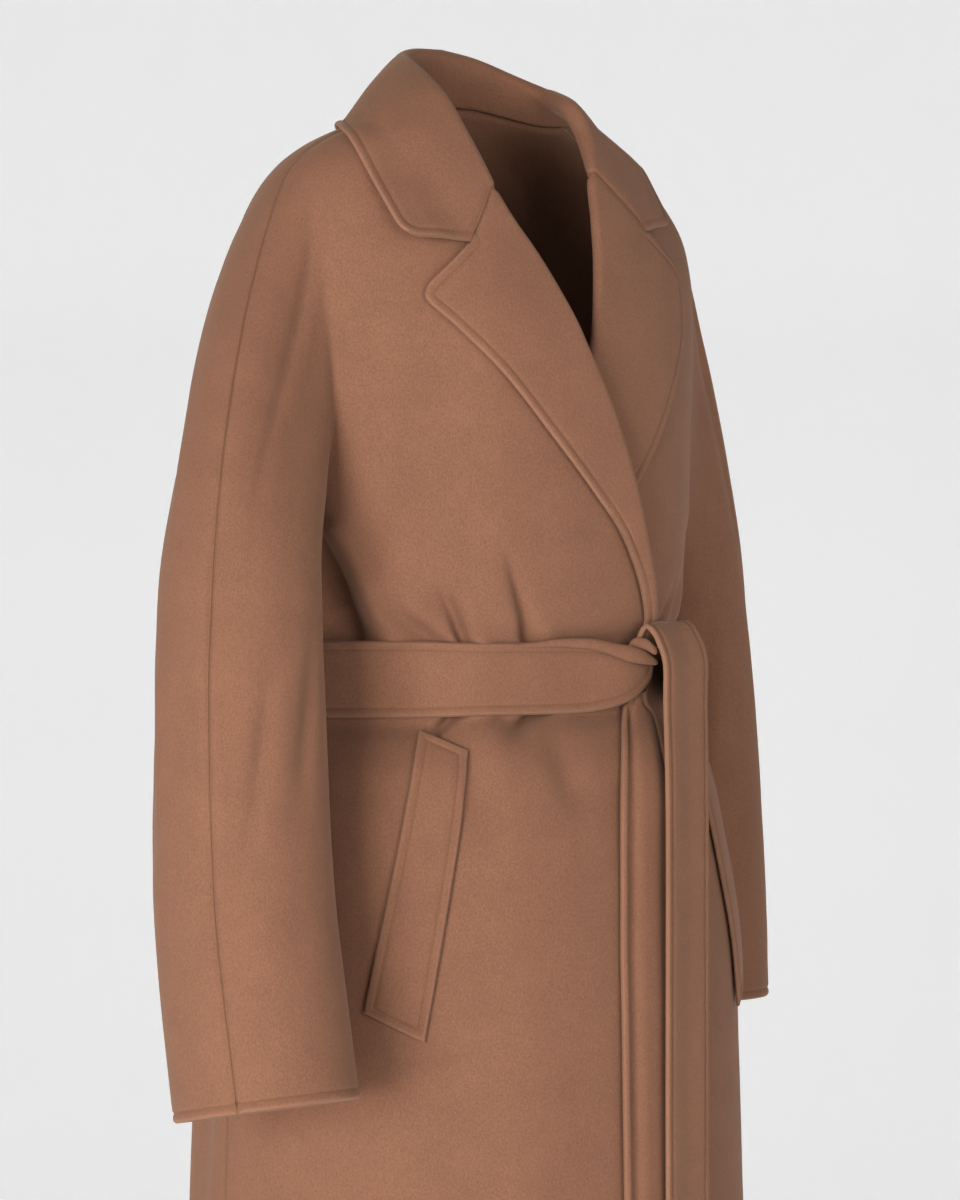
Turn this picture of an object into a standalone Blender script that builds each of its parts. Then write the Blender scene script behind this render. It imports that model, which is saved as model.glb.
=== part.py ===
"""Wool wrap coat, as it hangs on its wearer's shoulders, with its belt in a half knot.

Metres, +Z up. The coat faces -Y and the wearer's right is -X. The origin is midway between the two points
where the shoulder seams meet the collar, because the shoulders carry the coat.

Every panel is worked out row by row as the outer face of one thickness of cloth, and its wall goes
inwards from there. At the roll line the same face turns back on itself, so that the lapel's and the
collar's cloth lies on the far side of it.
"""

from collections import namedtuple
import math

import bmesh
import bpy
from mathutils import Matrix, kdtree
import numpy as np

CLOTH = 0.0026            # one thickness of double-faced wool
BELT_CLOTH = 0.0034       # the belt, with both long edges turned in
SEAM_INSET = 0.00017      # each piece stops this far short of its seam
SECTION_POWER = 2.2       # a little squarer than an ellipse
RIGHT, LEFT = -1, 1       # the wearer's sides, as the sign of X

# The body's outline, cut level. The two shoulders are the sides of the top sections.
Section = namedtuple("Section", "height half_width front_depth back_depth centre_y")
SECTIONS = (
    Section(-1.150, 0.227, 0.178, 0.158, 0.000),
    Section(-0.950, 0.222, 0.176, 0.148, 0.000),
    Section(-0.800, 0.217, 0.173, 0.140, 0.000),
    Section(-0.620, 0.212, 0.168, 0.138, 0.000),
    Section(-0.549, 0.204, 0.160, 0.134, 0.000),
    Section(-0.481, 0.192, 0.147, 0.124, 0.000),
    Section(-0.457, 0.179, 0.132, 0.115, 0.000),
    Section(-0.441, 0.1665, 0.1185, 0.108, 0.000),
    Section(-0.412, 0.165, 0.117, 0.107, 0.000),
    Section(-0.384, 0.1665, 0.1185, 0.108, 0.000),
    Section(-0.367, 0.1725, 0.126, 0.112, 0.000),
    Section(-0.345, 0.1765, 0.130, 0.116, 0.000),
    Section(-0.300, 0.180, 0.132, 0.120, 0.000),
    Section(-0.240, 0.183, 0.130, 0.124, 0.000),
    Section(-0.180, 0.188, 0.123, 0.125, -0.002),
    Section(-0.131, 0.192, 0.110, 0.119, -0.005),
    Section(-0.100, 0.190, 0.098, 0.112, -0.008),
    Section(-0.083, 0.185, 0.090, 0.107, -0.011),
    Section(-0.065, 0.176, 0.080, 0.098, -0.014),
    Section(-0.051, 0.164, 0.073, 0.090, -0.016),
    Section(-0.038, 0.146, 0.066, 0.083, -0.018),
    Section(-0.0225, 0.113, 0.058, 0.074, -0.019),
    Section(-0.0065, 0.078, 0.050, 0.062, -0.019),
    Section(0.0065, 0.062, 0.045, 0.053, -0.019),
)

# Soft folds of the body, deepest half-way between low and high. A turn is in degrees from the centre
# front, positive to the wearer's left, and lean is the degrees that it shifts over the fold's height.
Fold = namedtuple("Fold", "turn lean half_width depth low high")
FOLDS = (
    Fold(-62, 16, 9, -0.0050, -0.385, -0.285),
    Fold(-47, 14, 7, 0.0035, -0.385, -0.270),
    Fold(60, -16, 9, -0.0045, -0.385, -0.285),
    Fold(-36, -6, 4, -0.0040, -0.392, -0.330),
    Fold(-14, -8, 4, -0.0035, -0.392, -0.320),
    Fold(44, 6, 4, -0.0040, -0.392, -0.325),
    Fold(-29, -4, 4, -0.0050, -0.530, -0.438),
    Fold(-8, -3, 4, -0.0045, -0.520, -0.438),
    Fold(52, 4, 5, -0.0050, -0.560, -0.438),
    Fold(-104, 3, 9, -0.0080, -0.900, -0.445),
    Fold(104, -3, 9, -0.0080, -0.900, -0.445),
    Fold(-150, 3, 9, -0.0090, -1.400, -0.445),
    Fold(-128, 4, 10, 0.0060, -1.500, -0.470),
    Fold(146, -3, 10, -0.0090, -1.400, -0.445),
    Fold(124, -4, 10, 0.0060, -1.500, -0.470),
    Fold(-140, 6, 7, -0.0060, -0.392, -0.250),
    Fold(136, -6, 7, -0.0060, -0.392, -0.240),
    Fold(-168, 4, 6, -0.0050, -0.392, -0.300),
    Fold(80, -5, 14, 0.0060, -1.500, -0.560),
    Fold(24, 0, 9, -0.0050, -1.600, -0.700),
    Fold(-66, 2, 10, -0.0040, -1.600, -0.760),
    Fold(44, 0, 15, -0.0075, -0.130, -0.004),
    Fold(84, 0, 26, -0.0085, -0.096, 0.002),
)

# Up each panel, row 0 is the hem and row 1 the shoulder seam. The outer edge of a front is the side seam
# up to the underarm, then the armhole. Turns here count outwards from the centre front.
OuterEdge = namedtuple("OuterEdge", "row height turn")
UNDERARM_ROW = 0.545
SIDE_SEAM = (
    OuterEdge(0.000, -1.150, 90), OuterEdge(0.220, -0.750, 90), OuterEdge(0.360, -0.500, 90),
    OuterEdge(0.385, -0.457, 90), OuterEdge(0.400, -0.441, 90), OuterEdge(0.415, -0.412, 90),
    OuterEdge(0.430, -0.386, 90), OuterEdge(0.462, -0.370, 90), OuterEdge(0.500, -0.345, 90),
    OuterEdge(UNDERARM_ROW, -0.315, 90),
)
FRONT_OUTER = SIDE_SEAM + (
    OuterEdge(0.600, -0.292, 75), OuterEdge(0.670, -0.250, 67), OuterEdge(0.760, -0.200, 64),
    OuterEdge(0.850, -0.138, 64), OuterEdge(0.930, -0.087, 70), OuterEdge(0.970, -0.0705, 79),
    OuterEdge(1.000, -0.065, 90),
)
BACK_OUTER = SIDE_SEAM + (
    OuterEdge(0.600, -0.292, 105), OuterEdge(0.670, -0.250, 113), OuterEdge(0.760, -0.200, 118),
    OuterEdge(0.850, -0.138, 118), OuterEdge(0.930, -0.087, 112), OuterEdge(0.970, -0.0705, 102),
    OuterEdge(1.000, -0.065, 90),
)
WAIST_ROWS = (0.360, 0.3725, 0.385, 0.400, 0.415, 0.430, 0.446, 0.462)    # closest at the belt

# The inner edge of a front is its front edge up to the belt, then the roll line up to the gorge, where the
# collar's seam crosses it, and then the neckline under the collar.
InnerEdge = namedtuple("InnerEdge", "row height x")
FOLDED_ROW, GORGE_ROW = 0.430, 0.900      # the lapel's first row, behind the belt, and its last
RIGHT_INNER = (
    InnerEdge(0.000, -1.150, 0.074), InnerEdge(0.360, -0.500, 0.066), InnerEdge(0.385, -0.457, 0.066),
    InnerEdge(0.400, -0.441, 0.066), InnerEdge(0.415, -0.412, 0.066), InnerEdge(FOLDED_ROW, -0.386, 0.0645),
    InnerEdge(0.462, -0.370, 0.0615), InnerEdge(0.500, -0.350, 0.0525),
    InnerEdge(UNDERARM_ROW, -0.315, 0.0400), InnerEdge(0.600, -0.280, 0.0290),
    InnerEdge(0.670, -0.235, 0.0127), InnerEdge(0.760, -0.184, -0.0115),
    InnerEdge(0.850, -0.125, -0.0382), InnerEdge(GORGE_ROW, -0.077, -0.0637),
    InnerEdge(0.940, -0.042, -0.0720), InnerEdge(0.970, -0.023, -0.0750), InnerEdge(0.985, -0.0125, -0.0765),
    InnerEdge(1.000, -0.0065, -0.0780),
)
LEFT_INNER = (
    InnerEdge(0.000, -1.150, -0.074), InnerEdge(0.360, -0.500, -0.066), InnerEdge(0.385, -0.457, -0.064),
    InnerEdge(0.400, -0.441, -0.063), InnerEdge(0.415, -0.412, -0.062), InnerEdge(FOLDED_ROW, -0.386, -0.060),
    InnerEdge(0.462, -0.370, -0.058), InnerEdge(0.500, -0.350, -0.053),
    InnerEdge(UNDERARM_ROW, -0.315, -0.043), InnerEdge(0.600, -0.280, -0.033),
    InnerEdge(0.670, -0.235, -0.015), InnerEdge(0.760, -0.182, 0.0119),
    InnerEdge(0.850, -0.118, 0.0292), InnerEdge(GORGE_ROW, -0.054, 0.0443),
    InnerEdge(0.940, -0.034, 0.0640), InnerEdge(0.970, -0.020, 0.0730), InnerEdge(0.985, -0.0125, 0.0765),
    InnerEdge(1.000, -0.0065, 0.0780),
)

# The lapel's outer edge, where it lies on the chest, from the belt up to the rounded peak.
LapelEdge = namedtuple("LapelEdge", "row height x")
RIGHT_LAPEL = (
    LapelEdge(FOLDED_ROW, -0.388, 0.0560), LapelEdge(0.462, -0.371, 0.0522), LapelEdge(0.500, -0.350, 0.0420),
    LapelEdge(UNDERARM_ROW, -0.312, 0.0195),
    LapelEdge(0.600, -0.284, -0.0058), LapelEdge(0.670, -0.249, -0.0372),
    LapelEdge(0.760, -0.208, -0.0714), LapelEdge(0.850, -0.170, -0.1047),
    LapelEdge(0.885, -0.152, -0.1204), LapelEdge(GORGE_ROW, -0.147, -0.1214),
)
LEFT_LAPEL = (
    LapelEdge(FOLDED_ROW, -0.388, -0.051), LapelEdge(0.462, -0.372, -0.046), LapelEdge(0.500, -0.355, -0.035),
    LapelEdge(UNDERARM_ROW, -0.328, -0.008),
    LapelEdge(0.600, -0.300, 0.022), LapelEdge(0.670, -0.262, 0.0605), LapelEdge(0.760, -0.207, 0.0982),
    LapelEdge(0.850, -0.155, 0.1209), LapelEdge(0.885, -0.132, 0.1236), LapelEdge(GORGE_ROW, -0.115, 0.1215),
)
NOTCH = {RIGHT: (-0.115, -0.086), LEFT: (-0.092, 0.088)}        # height and x, on the lapel's top edge
NOTCH_SHARE = 0.50        # of the lapel's columns, those between the roll line and the notch

# How far each layer of the wrap lies above the one below it.
WRAP_LIFT = 0.0105        # the right front, over the left front and its lapel
SKIRT_LIFT = 0.0062       # the same below the belt, where there is no lapel between
CHEST_LIFT = 0.0040       # the same above the crossing of the roll lines, where nothing lies between
WRAP_STARTS, WRAP_FULL = -0.128, -0.070    # x where the right front starts to rise and where it has risen
ROLL_RADIUS = {RIGHT: 0.0032, LEFT: 0.0019}
EDGE_GAP = {RIGHT: 0.0030, LEFT: 0.0028}  # under the lapel's outer edge
PRESSED, PRESSED_ROWS = 0.45, 0.100      # share of the roll's room at the belt, and the rows it opens over

# The collar, from the gorge (place 0) past the side of the neck (1) to the centre back (2).
CollarPlace = namedtuple("CollarPlace", "place fold_x fold_y fold_z edge_x edge_y edge_z")
RIGHT_COLLAR = (
    CollarPlace(0.00, -0.0655, -0.098, -0.074, -0.137, -0.096, -0.114),
    CollarPlace(0.15, -0.0655, -0.0965, -0.0615, -0.144, -0.086, -0.094),
    CollarPlace(0.45, -0.0728, -0.0825, -0.0305, -0.144, -0.062, -0.060),
    CollarPlace(0.75, -0.0765, -0.065, -0.0055, -0.138, -0.034, -0.038),
    CollarPlace(1.00, -0.0641, -0.016, 0.0245, -0.120, -0.005, -0.029),
    CollarPlace(1.35, -0.0480, 0.010, 0.0345, -0.078, 0.038, -0.030),
    CollarPlace(1.70, -0.0240, 0.025, 0.0425, -0.044, 0.062, -0.030),
    CollarPlace(2.00, 0.0010, 0.029, 0.0450, 0.000, 0.071, -0.030),
)
LEFT_COLLAR = (
    CollarPlace(0.00, 0.0440, -0.085, -0.053, 0.130, -0.076, -0.084),
    CollarPlace(0.20, 0.0465, -0.080, -0.038, 0.133, -0.066, -0.073),
    CollarPlace(0.45, 0.0533, -0.069, -0.0235, 0.125, -0.052, -0.059),
    CollarPlace(0.75, 0.0537, -0.053, 0.000, 0.110, -0.030, -0.039),
    CollarPlace(1.00, 0.0650, -0.012, 0.0175, 0.098, -0.004, -0.029),
    CollarPlace(1.35, 0.0490, 0.013, 0.0325, 0.076, 0.034, -0.031),
    CollarPlace(1.70, 0.0255, 0.025, 0.042, 0.046, 0.062, -0.029),
    CollarPlace(2.00, 0.0010, 0.029, 0.0450, 0.000, 0.071, -0.030),
)
COLLAR_FOLD_RADIUS = 0.0045
COLLAR_LIFT = 0.0045      # the leaf's crown above the straight line from fold to edge
LEAF_LEAST = 0.0026       # the leaf's underside above the shoulder and chest under it

# The sleeves below the underarm, down the arm. Each row is a ring square to the arm.
SleeveRing = namedtuple("SleeveRing", "height x y across along tilt")
RIGHT_SLEEVE = (
    SleeveRing(-0.360, -0.2530, -0.0700, 0.0530, 0.0535, 5),
    SleeveRing(-0.410, -0.2585, -0.0765, 0.0550, 0.0555, 6),
    SleeveRing(-0.457, -0.2620, -0.0820, 0.0560, 0.0570, 7),
    SleeveRing(-0.510, -0.2650, -0.0880, 0.0570, 0.0580, 8),
    SleeveRing(-0.565, -0.2670, -0.0955, 0.0580, 0.0590, 10),
    SleeveRing(-0.630, -0.2685, -0.1095, 0.0585, 0.0600, 12),
    SleeveRing(-0.688, -0.2690, -0.1220, 0.0585, 0.0605, 12),
)
LEFT_SLEEVE = (
    SleeveRing(-0.360, 0.2500, 0.0360, 0.0530, 0.0535, 0),
    SleeveRing(-0.410, 0.2570, 0.0390, 0.0550, 0.0555, 0),
    SleeveRing(-0.457, 0.2615, 0.0410, 0.0560, 0.0570, 1),
    SleeveRing(-0.510, 0.2655, 0.0425, 0.0570, 0.0580, 2),
    SleeveRing(-0.565, 0.2690, 0.0430, 0.0575, 0.0585, 2),
    SleeveRing(-0.630, 0.2715, 0.0430, 0.0580, 0.0590, 3),
    SleeveRing(-0.674, 0.2730, 0.0430, 0.0580, 0.0590, 3),
)
SLEEVE_POWER = 2.15
OVERARM_TWIST, UNDERARM_TWIST = 34, 28    # degrees that the seams turn to the front
UNDERARM_START = 0.3      # share of the underarm's twist that it has at the armhole
CAP_FULLNESS = 1.05       # how far the cap runs on before it turns down
CAP_RINGS, ARM_RINGS = 9, 7
STRAIGHT_BELOW = 0.030    # below the cap, how far down the ring is that gives its direction
UNDERARM_SMOOTH = 0.15    # at the underarm, how far the sleeve leaves along the body's surface: 1 is all
SMOOTH_BY = 1.15          # all of it at one part in this of the way up to the shoulder
UNDERARM_SETTLES = 1.6    # the underarm seam has its full twist at one part in this of the arm

# The pocket's welt: turn and height of its corners on the front.
WELT_CORNERS = {"top_outer": (42.5, -0.449), "top_inner": (30.5, -0.463),
                "low_outer": (54.0, -0.634), "low_inner": (41.0, -0.654)}
WELT_LIFT = 0.0019         # its underside above the front

BELT_WIDTH = 0.054
BELT_HEIGHT = -0.4125     # of the band's middle
BELT_LIFT = 0.0050        # the band's outer face above the cloth under it
# The band, from the knot round the wearer's right side and the back to the knot again. The turn runs down
# as it goes; the band gathers to a fraction of its width at the knot.
BandPlace = namedtuple("BandPlace", "place turn width_share rise lift")
BAND = (
    BandPlace(0, 18.5, 0.14, 0.0100, 0.0070), BandPlace(1, 16.5, 0.36, 0.0055, 0.0085),
    BandPlace(2, 11.5, 0.66, 0.0020, 0.0085), BandPlace(3, 5.0, 0.87, 0.0010, 0.0060),
    BandPlace(4, -10.0, 1.00, 0.0, 0.0), BandPlace(5, -90.0, 1.00, 0.0, 0.0),
    BandPlace(6, -180.0, 1.00, 0.0, 0.0), BandPlace(7, -270.0, 1.00, 0.0, 0.0),
    BandPlace(8, -312.0, 0.97, 0.0, 0.0), BandPlace(9, -328.0, 0.62, 0.0020, 0.0),
)
BAND_ROUND_ROWS = 34      # between places 4 and 8, where it lies flat on the body
BAND_KNOT_ROWS, BAND_END_ROWS = 9, 5       # before place 4 and after place 8
STEP_STARTS, STEP_TURN = -300, 22          # where the band steps down off the right front, and how fast

# The hanging ends: the left edge of the cloth down each one, its width, the degrees that the width turns
# to the back, and how much higher the right edge is.
EndPlace = namedtuple("EndPlace", "place height left_x left_y width yaw right_rise")
END_FRONT = (
    EndPlace(0, -0.3925, 0.0418, -0.1368, 0.048, 12.9, 0.0),
    EndPlace(1, -0.3860, 0.0418, -0.1368, 0.050, 12.9, 0.0),
    EndPlace(2, -0.3785, 0.0428, -0.1394, 0.053, 12.9, 0.002),
    EndPlace(3, -0.3745, 0.0436, -0.1433, 0.054, 12.9, 0.003),
    EndPlace(4, -0.3780, 0.0455, -0.1497, 0.055, 12.9, 0.003),
    EndPlace(5, -0.3880, 0.0472, -0.1555, 0.056, 12.9, 0.003),
    EndPlace(6, -0.4020, 0.0488, -0.1600, 0.057, 12.9, 0.002),
    EndPlace(7, -0.4300, 0.0459, -0.1635, 0.056, 12.9, 0.0),
    EndPlace(8, -0.4700, 0.0412, -0.1700, 0.055, 12.9, 0.0),
    EndPlace(9, -0.5200, 0.0345, -0.1780, 0.054, 12.9, 0.0),
    EndPlace(11, -0.6000, 0.0259, -0.1870, 0.054, 12.9, 0.0),
    EndPlace(13, -0.7500, 0.0206, -0.1925, 0.054, 12.9, 0.0),
    EndPlace(16, -1.0000, 0.0192, -0.1950, 0.054, 12.9, 0.0),
)
END_UNDER = (
    EndPlace(0, -0.4265, 0.0393, -0.1332, 0.020, 2.0, 0.006),
    EndPlace(1, -0.4340, 0.0337, -0.1340, 0.026, 2.0, 0.004),
    EndPlace(2, -0.4422, 0.0286, -0.1375, 0.037, 2.0, 0.003),
    EndPlace(3, -0.4636, 0.0142, -0.1525, 0.045, 2.0, 0.002),
    EndPlace(4, -0.5000, 0.0026, -0.1645, 0.053, 2.0, 0.000),
    EndPlace(5, -0.5490, -0.0033, -0.1708, 0.054, 2.5, 0.000),
    EndPlace(7, -0.6200, -0.0102, -0.1788, 0.054, 2.5, 0.000),
    EndPlace(10, -0.7800, -0.0118, -0.1840, 0.054, 2.5, 0.000),
    EndPlace(13, -0.9600, -0.0099, -0.1870, 0.054, 2.5, 0.000),
)
KNOT_MIDDLE = (0.0322, -0.1478, -0.3935)
KNOT_HALF_SIZE = (0.0175, 0.0042, 0.0068)    # along the strand, through it and up
KNOT_YAW, KNOT_SLOPE = -26, 12               # degrees that it turns out and leans down, to the left

# The grids. Rows run up a panel, and a front's columns run from its side seam to its front edge or roll
# line (body), round the roll (arc) and out over the lapel. The collar's places are its rows.
NECK_PLACES = (0.0, 0.08, 0.18, 0.34, 0.50, 0.67, 0.84, 1.0)    # from the gorge to the shoulder
NAPE_PLACES = (1.2, 1.4, 1.6, 1.8, 2.0)                         # and from there to the centre back
SKIRT_ROWS, BODICE_ROWS, CHEST_ROWS, SHOULDER_ROWS = 9, 5, 10, 13
FRONT_COLUMNS, ARC_COLUMNS, LAPEL_COLUMNS, STAND_COLUMNS = 15, 5, 6, 3
SHOULDER_COLUMNS = 5      # of the back, along each shoulder
FOLD_SETTLES, LEAF_SETTLES = 0.30, 0.40    # places by which the collar has its own fold and leaf
NOTCH_SETTLES = 0.80      # row from which the lapel's rows bend towards the notch
INNER_TOP, NAPE_TOP = -0.0065, 0.0065      # height of the neckline at the shoulder seam and centre back
UNDER_COLLAR = (-0.160, 0.007)             # heights of the body that the collar's leaf can lie on
NAPE_RISES = 1.3          # the neckline is level again after one part in this of the back's half
FOLD_STEP, CROWN_SHIFT = 0.05, 0.8         # of places along the fold, and of the crown towards the fold
WELT_ROWS, WELT_COLUMNS = 9, 4
BELT_COLUMNS = 5
END_FRONT_ROWS, END_UNDER_ROWS = 30, 20
KNOT_SEGMENTS, KNOT_RINGS = 16, 10
SAME_PLACE = 0.00001      # points of two pieces this close are one place on their seam
SHARED_LEAST = 0.2        # cosine between the body's and a sleeve's normal that are still averaged
DIAGONAL_WAY = np.array([0.31, 0.57, 1.0])    # a direction that no seam is square to

WOOL_COLOUR = (0.30, 0.155, 0.085)


def column(table, name):
    """A smooth function through one column of a table, read by the table's first column. It never
    swings past the values that it joins."""
    knots = np.array([row[0] for row in table], float)
    values = np.array([getattr(row, name) for row in table], float)
    steps = np.diff(values) / np.diff(knots)
    slopes = np.concatenate([steps[:1], np.zeros(len(steps) - 1), steps[-1:]])
    for i in range(1, len(steps)):
        before, after = steps[i - 1], steps[i]
        if before * after > 0:
            slopes[i] = 2 * before * after / (before + after)

    def read(at):
        at = np.clip(np.asarray(at, float), knots[0], knots[-1])
        i = np.clip(np.searchsorted(knots, at, side="right") - 1, 0, len(knots) - 2)
        span = knots[i + 1] - knots[i]
        t = (at - knots[i]) / span
        return ((1 + 2 * t) * (1 - t) ** 2 * values[i] + t * (1 - t) ** 2 * span * slopes[i]
                + t * t * (3 - 2 * t) * values[i + 1] + t * t * (t - 1) * span * slopes[i + 1])

    return read


def columns(table):
    """Every column of a table after its first, as smooth functions in the table's order."""
    return [column(table, name) for name in table[0]._fields[1:]]


def ease(value):
    """0 up to 0, 1 from 1 on, and smooth between."""
    t = np.clip(value, 0.0, 1.0)
    return t * t * (3 - 2 * t)


def unit(vectors):
    return vectors / np.maximum(np.linalg.norm(vectors, axis=-1, keepdims=True), 1e-12)


HALF_WIDTH, FRONT_DEPTH, BACK_DEPTH, CENTRE_Y = columns(SECTIONS)


def power(value, squareness=SECTION_POWER):
    """Turns a sine or cosine into the section's own outline."""
    return np.sign(value) * np.abs(value) ** (2 / squareness)


def bare_form(turn, height):
    """The point of the body's outline at a turn and a height, before its folds."""
    angle = np.radians(turn)
    cosine = np.cos(angle)
    depth = np.where(cosine > 0, FRONT_DEPTH(height), BACK_DEPTH(height))
    return np.stack([HALF_WIDTH(height) * power(np.sin(angle)),
                     CENTRE_Y(height) - depth * power(cosine),
                     height + 0.0 * angle], axis=-1)


def outward(turn, height):
    """The outward normal of the body's outline. The step is wide enough to pass over small kinks."""
    around = bare_form(turn + 1.5, height) - bare_form(turn - 1.5, height)
    upward = bare_form(turn, height + 0.004) - bare_form(turn, height - 0.004)
    return unit(np.cross(around, upward))


def fold_depth(turn, height):
    """How far the folds move the outline outwards."""
    total = 0.0 * turn * height
    for fold in FOLDS:
        along = np.clip((height - fold.low) / (fold.high - fold.low), 0, 1)
        away = (turn - fold.turn - fold.lean * (along - 0.5) + 180) % 360 - 180
        total = total + fold.depth * np.sin(np.pi * along) ** 2 * np.exp(-((away / fold.half_width) ** 2))
    return total


def form(turn, height, lift=0.0):
    """The point of the coat's body at a turn and a height, moved out by lift."""
    turn, height = np.broadcast_arrays(np.asarray(turn, float), np.asarray(height, float))
    out = outward(turn, height)
    return bare_form(turn, height) + out * (fold_depth(turn, height) + lift)[..., None]


def turn_at(x, height):
    """The turn, on the front, at which the outline passes x."""
    share = np.clip(np.abs(x) / HALF_WIDTH(height), 0, 1)
    return np.sign(x) * np.degrees(np.arcsin(share ** (SECTION_POWER / 2)))


def wrap_lift(side, turn, height):
    """How far a front lies above the body's outline: the right one rises over the left one."""
    x = HALF_WIDTH(height) * power(np.sin(np.radians(turn)))
    risen = ease((x - WRAP_STARTS) / (WRAP_FULL - WRAP_STARTS)) if side == RIGHT else 0.0 * x
    full = SKIRT_LIFT + (WRAP_LIFT - SKIRT_LIFT) * ease((height + 0.50) / 0.06)
    full = full + (CHEST_LIFT - WRAP_LIFT) * ease((height + 0.185) / 0.085)
    return risen * full * ease((90 - np.abs(turn)) / 25)


def front_point(side, turn, height, lift=0.0):
    return form(turn, height, wrap_lift(side, turn, height) + lift)


def rows_to_underarm():
    """Row places from the hem to the underarm, the same for the fronts and the back."""
    return np.concatenate([np.linspace(0, WAIST_ROWS[0], SKIRT_ROWS)[:-1], WAIST_ROWS,
                           np.linspace(WAIST_ROWS[-1], UNDERARM_ROW, BODICE_ROWS)[1:]])


def front_rows():
    """A front's row places from the hem to the shoulder."""
    return np.concatenate([rows_to_underarm(), np.linspace(UNDERARM_ROW, GORGE_ROW, CHEST_ROWS)[1:],
                           GORGE_ROW + (1 - GORGE_ROW) * np.array(NECK_PLACES[1:])])


def inner_edge(side):
    return columns(RIGHT_INNER if side == RIGHT else LEFT_INNER)


def body_of_front(side, rows):
    """The grid of a front from its side seam and armhole to its front edge, roll line and neckline."""
    outer_height, outer_turn = columns(FRONT_OUTER)
    inner_height, inner_x = inner_edge(side)
    across = np.linspace(0, 1, FRONT_COLUMNS + 1)[None, :]
    start, stop = outer_height(rows)[:, None], inner_height(rows)[:, None]
    height = start + (stop - start) * across
    first = side * outer_turn(rows)[:, None]
    last = turn_at(inner_x(rows), inner_height(rows))[:, None]
    turn = first + (last - first) * across
    return front_point(side, turn, height)


def lapel_line(side, row):
    """Heights and x across a lapel at one row: from the roll line to the outer edge, through the notch."""
    inner_height, inner_x = inner_edge(side)
    edge_height, edge_x = columns(RIGHT_LAPEL if side == RIGHT else LEFT_LAPEL)
    across = np.linspace(0, 1, LAPEL_COLUMNS + 1)[1:]
    start = np.array([inner_height(row), inner_x(row)])
    stop = np.array([edge_height(row), edge_x(row)])
    straight = start + (stop - start) * across[:, None]
    to_notch = np.clip(across / NOTCH_SHARE, 0, 1)[:, None]
    past_notch = np.clip((across - NOTCH_SHARE) / (1 - NOTCH_SHARE), 0, 1)[:, None]
    notch = np.array(NOTCH[side])
    kinked = start + (notch - start) * to_notch + (stop - notch) * past_notch
    share = ease((row - NOTCH_SETTLES) / (GORGE_ROW - NOTCH_SETTLES))
    return straight + (kinked - straight) * share


def fold_frame(side, row):
    """Point, outward normal and onward direction of a front at its roll line."""
    inner_height, inner_x = inner_edge(side)
    height = inner_height(row)
    turn = turn_at(inner_x(row), height)
    point = front_point(side, turn, height)
    normal = outward(turn, height)
    onward = front_point(side, turn - side * 0.5, height) - point
    onward -= normal * np.dot(onward, normal)
    return point, normal, unit(onward)


def arc(point, normal, onward, radius, degrees):
    """The turned cloth at a fold: points past the fold line, round a centre above it."""
    angles = np.radians(np.linspace(0, degrees, ARC_COLUMNS + 1)[1:])[:, None]
    return point + normal * radius * (1 - np.cos(angles)) + onward * radius * np.sin(angles)


def lapel_row(side, row):
    """Points of one row of the lapel: round the roll and out to the edge."""
    point, normal, onward = fold_frame(side, row)
    room = PRESSED + (1 - PRESSED) * float(ease((row - FOLDED_ROW) / PRESSED_ROWS))
    radius = ROLL_RADIUS[side] * room
    line = lapel_line(side, row)
    across = np.linspace(0, 1, LAPEL_COLUMNS + 1)[1:]
    gap = 2 * radius + (EDGE_GAP[side] * room - 2 * radius) * across
    flat = front_point(side, turn_at(line[:, 1], line[:, 0]), line[:, 0], gap)
    return np.concatenate([arc(point, normal, onward, radius, 180), flat])


def front_grid(side):
    """Grid of a whole front. The lapel's columns are blank below the belt and above the gorge."""
    rows = front_rows()
    lapel = np.full((len(rows), ARC_COLUMNS + LAPEL_COLUMNS, 3), np.nan)
    for i, row in enumerate(rows):
        if FOLDED_ROW - 1e-9 <= row <= GORGE_ROW + 1e-9:
            lapel[i] = lapel_row(side, row)
    return np.concatenate([body_of_front(side, rows), lapel], axis=1)


def back_rows():
    return np.concatenate([rows_to_underarm(), np.linspace(UNDERARM_ROW, 1, SHOULDER_ROWS)[1:]])


def back_places():
    """Turns and heights of the back's grid, from the wearer's right side seam round to the left one."""
    rows = back_rows()
    outer_height, outer_turn = columns(BACK_OUTER)
    shoulder_height, neck_height = outer_height(1.0), nape_height(1.0)
    along = np.linspace(0, 1, SHOULDER_COLUMNS + 1)
    half_top = [(90.0, shoulder_height + (neck_height - shoulder_height) * share) for share in along]
    half_top += [(90.0 * place, nape_height(place)) for place in NAPE_PLACES]
    half_top = np.array(half_top)
    mirrored = np.stack([360 - half_top[::-1, 0], half_top[::-1, 1]], axis=1)[1:]
    top = np.concatenate([half_top, mirrored])
    across = np.linspace(0, 1, len(top))[None, :]
    first = outer_turn(rows)[:, None]
    share = np.clip((rows - UNDERARM_ROW) / (1 - UNDERARM_ROW), 0, 1)[:, None] ** 2
    turn = first + (360 - 2 * first) * across + (top[:, 0] - (90 + 180 * across)) * share
    return -turn, outer_height(rows)[:, None] + (top[:, 1] - shoulder_height) * share


def back_grid():
    return form(*back_places())


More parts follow.
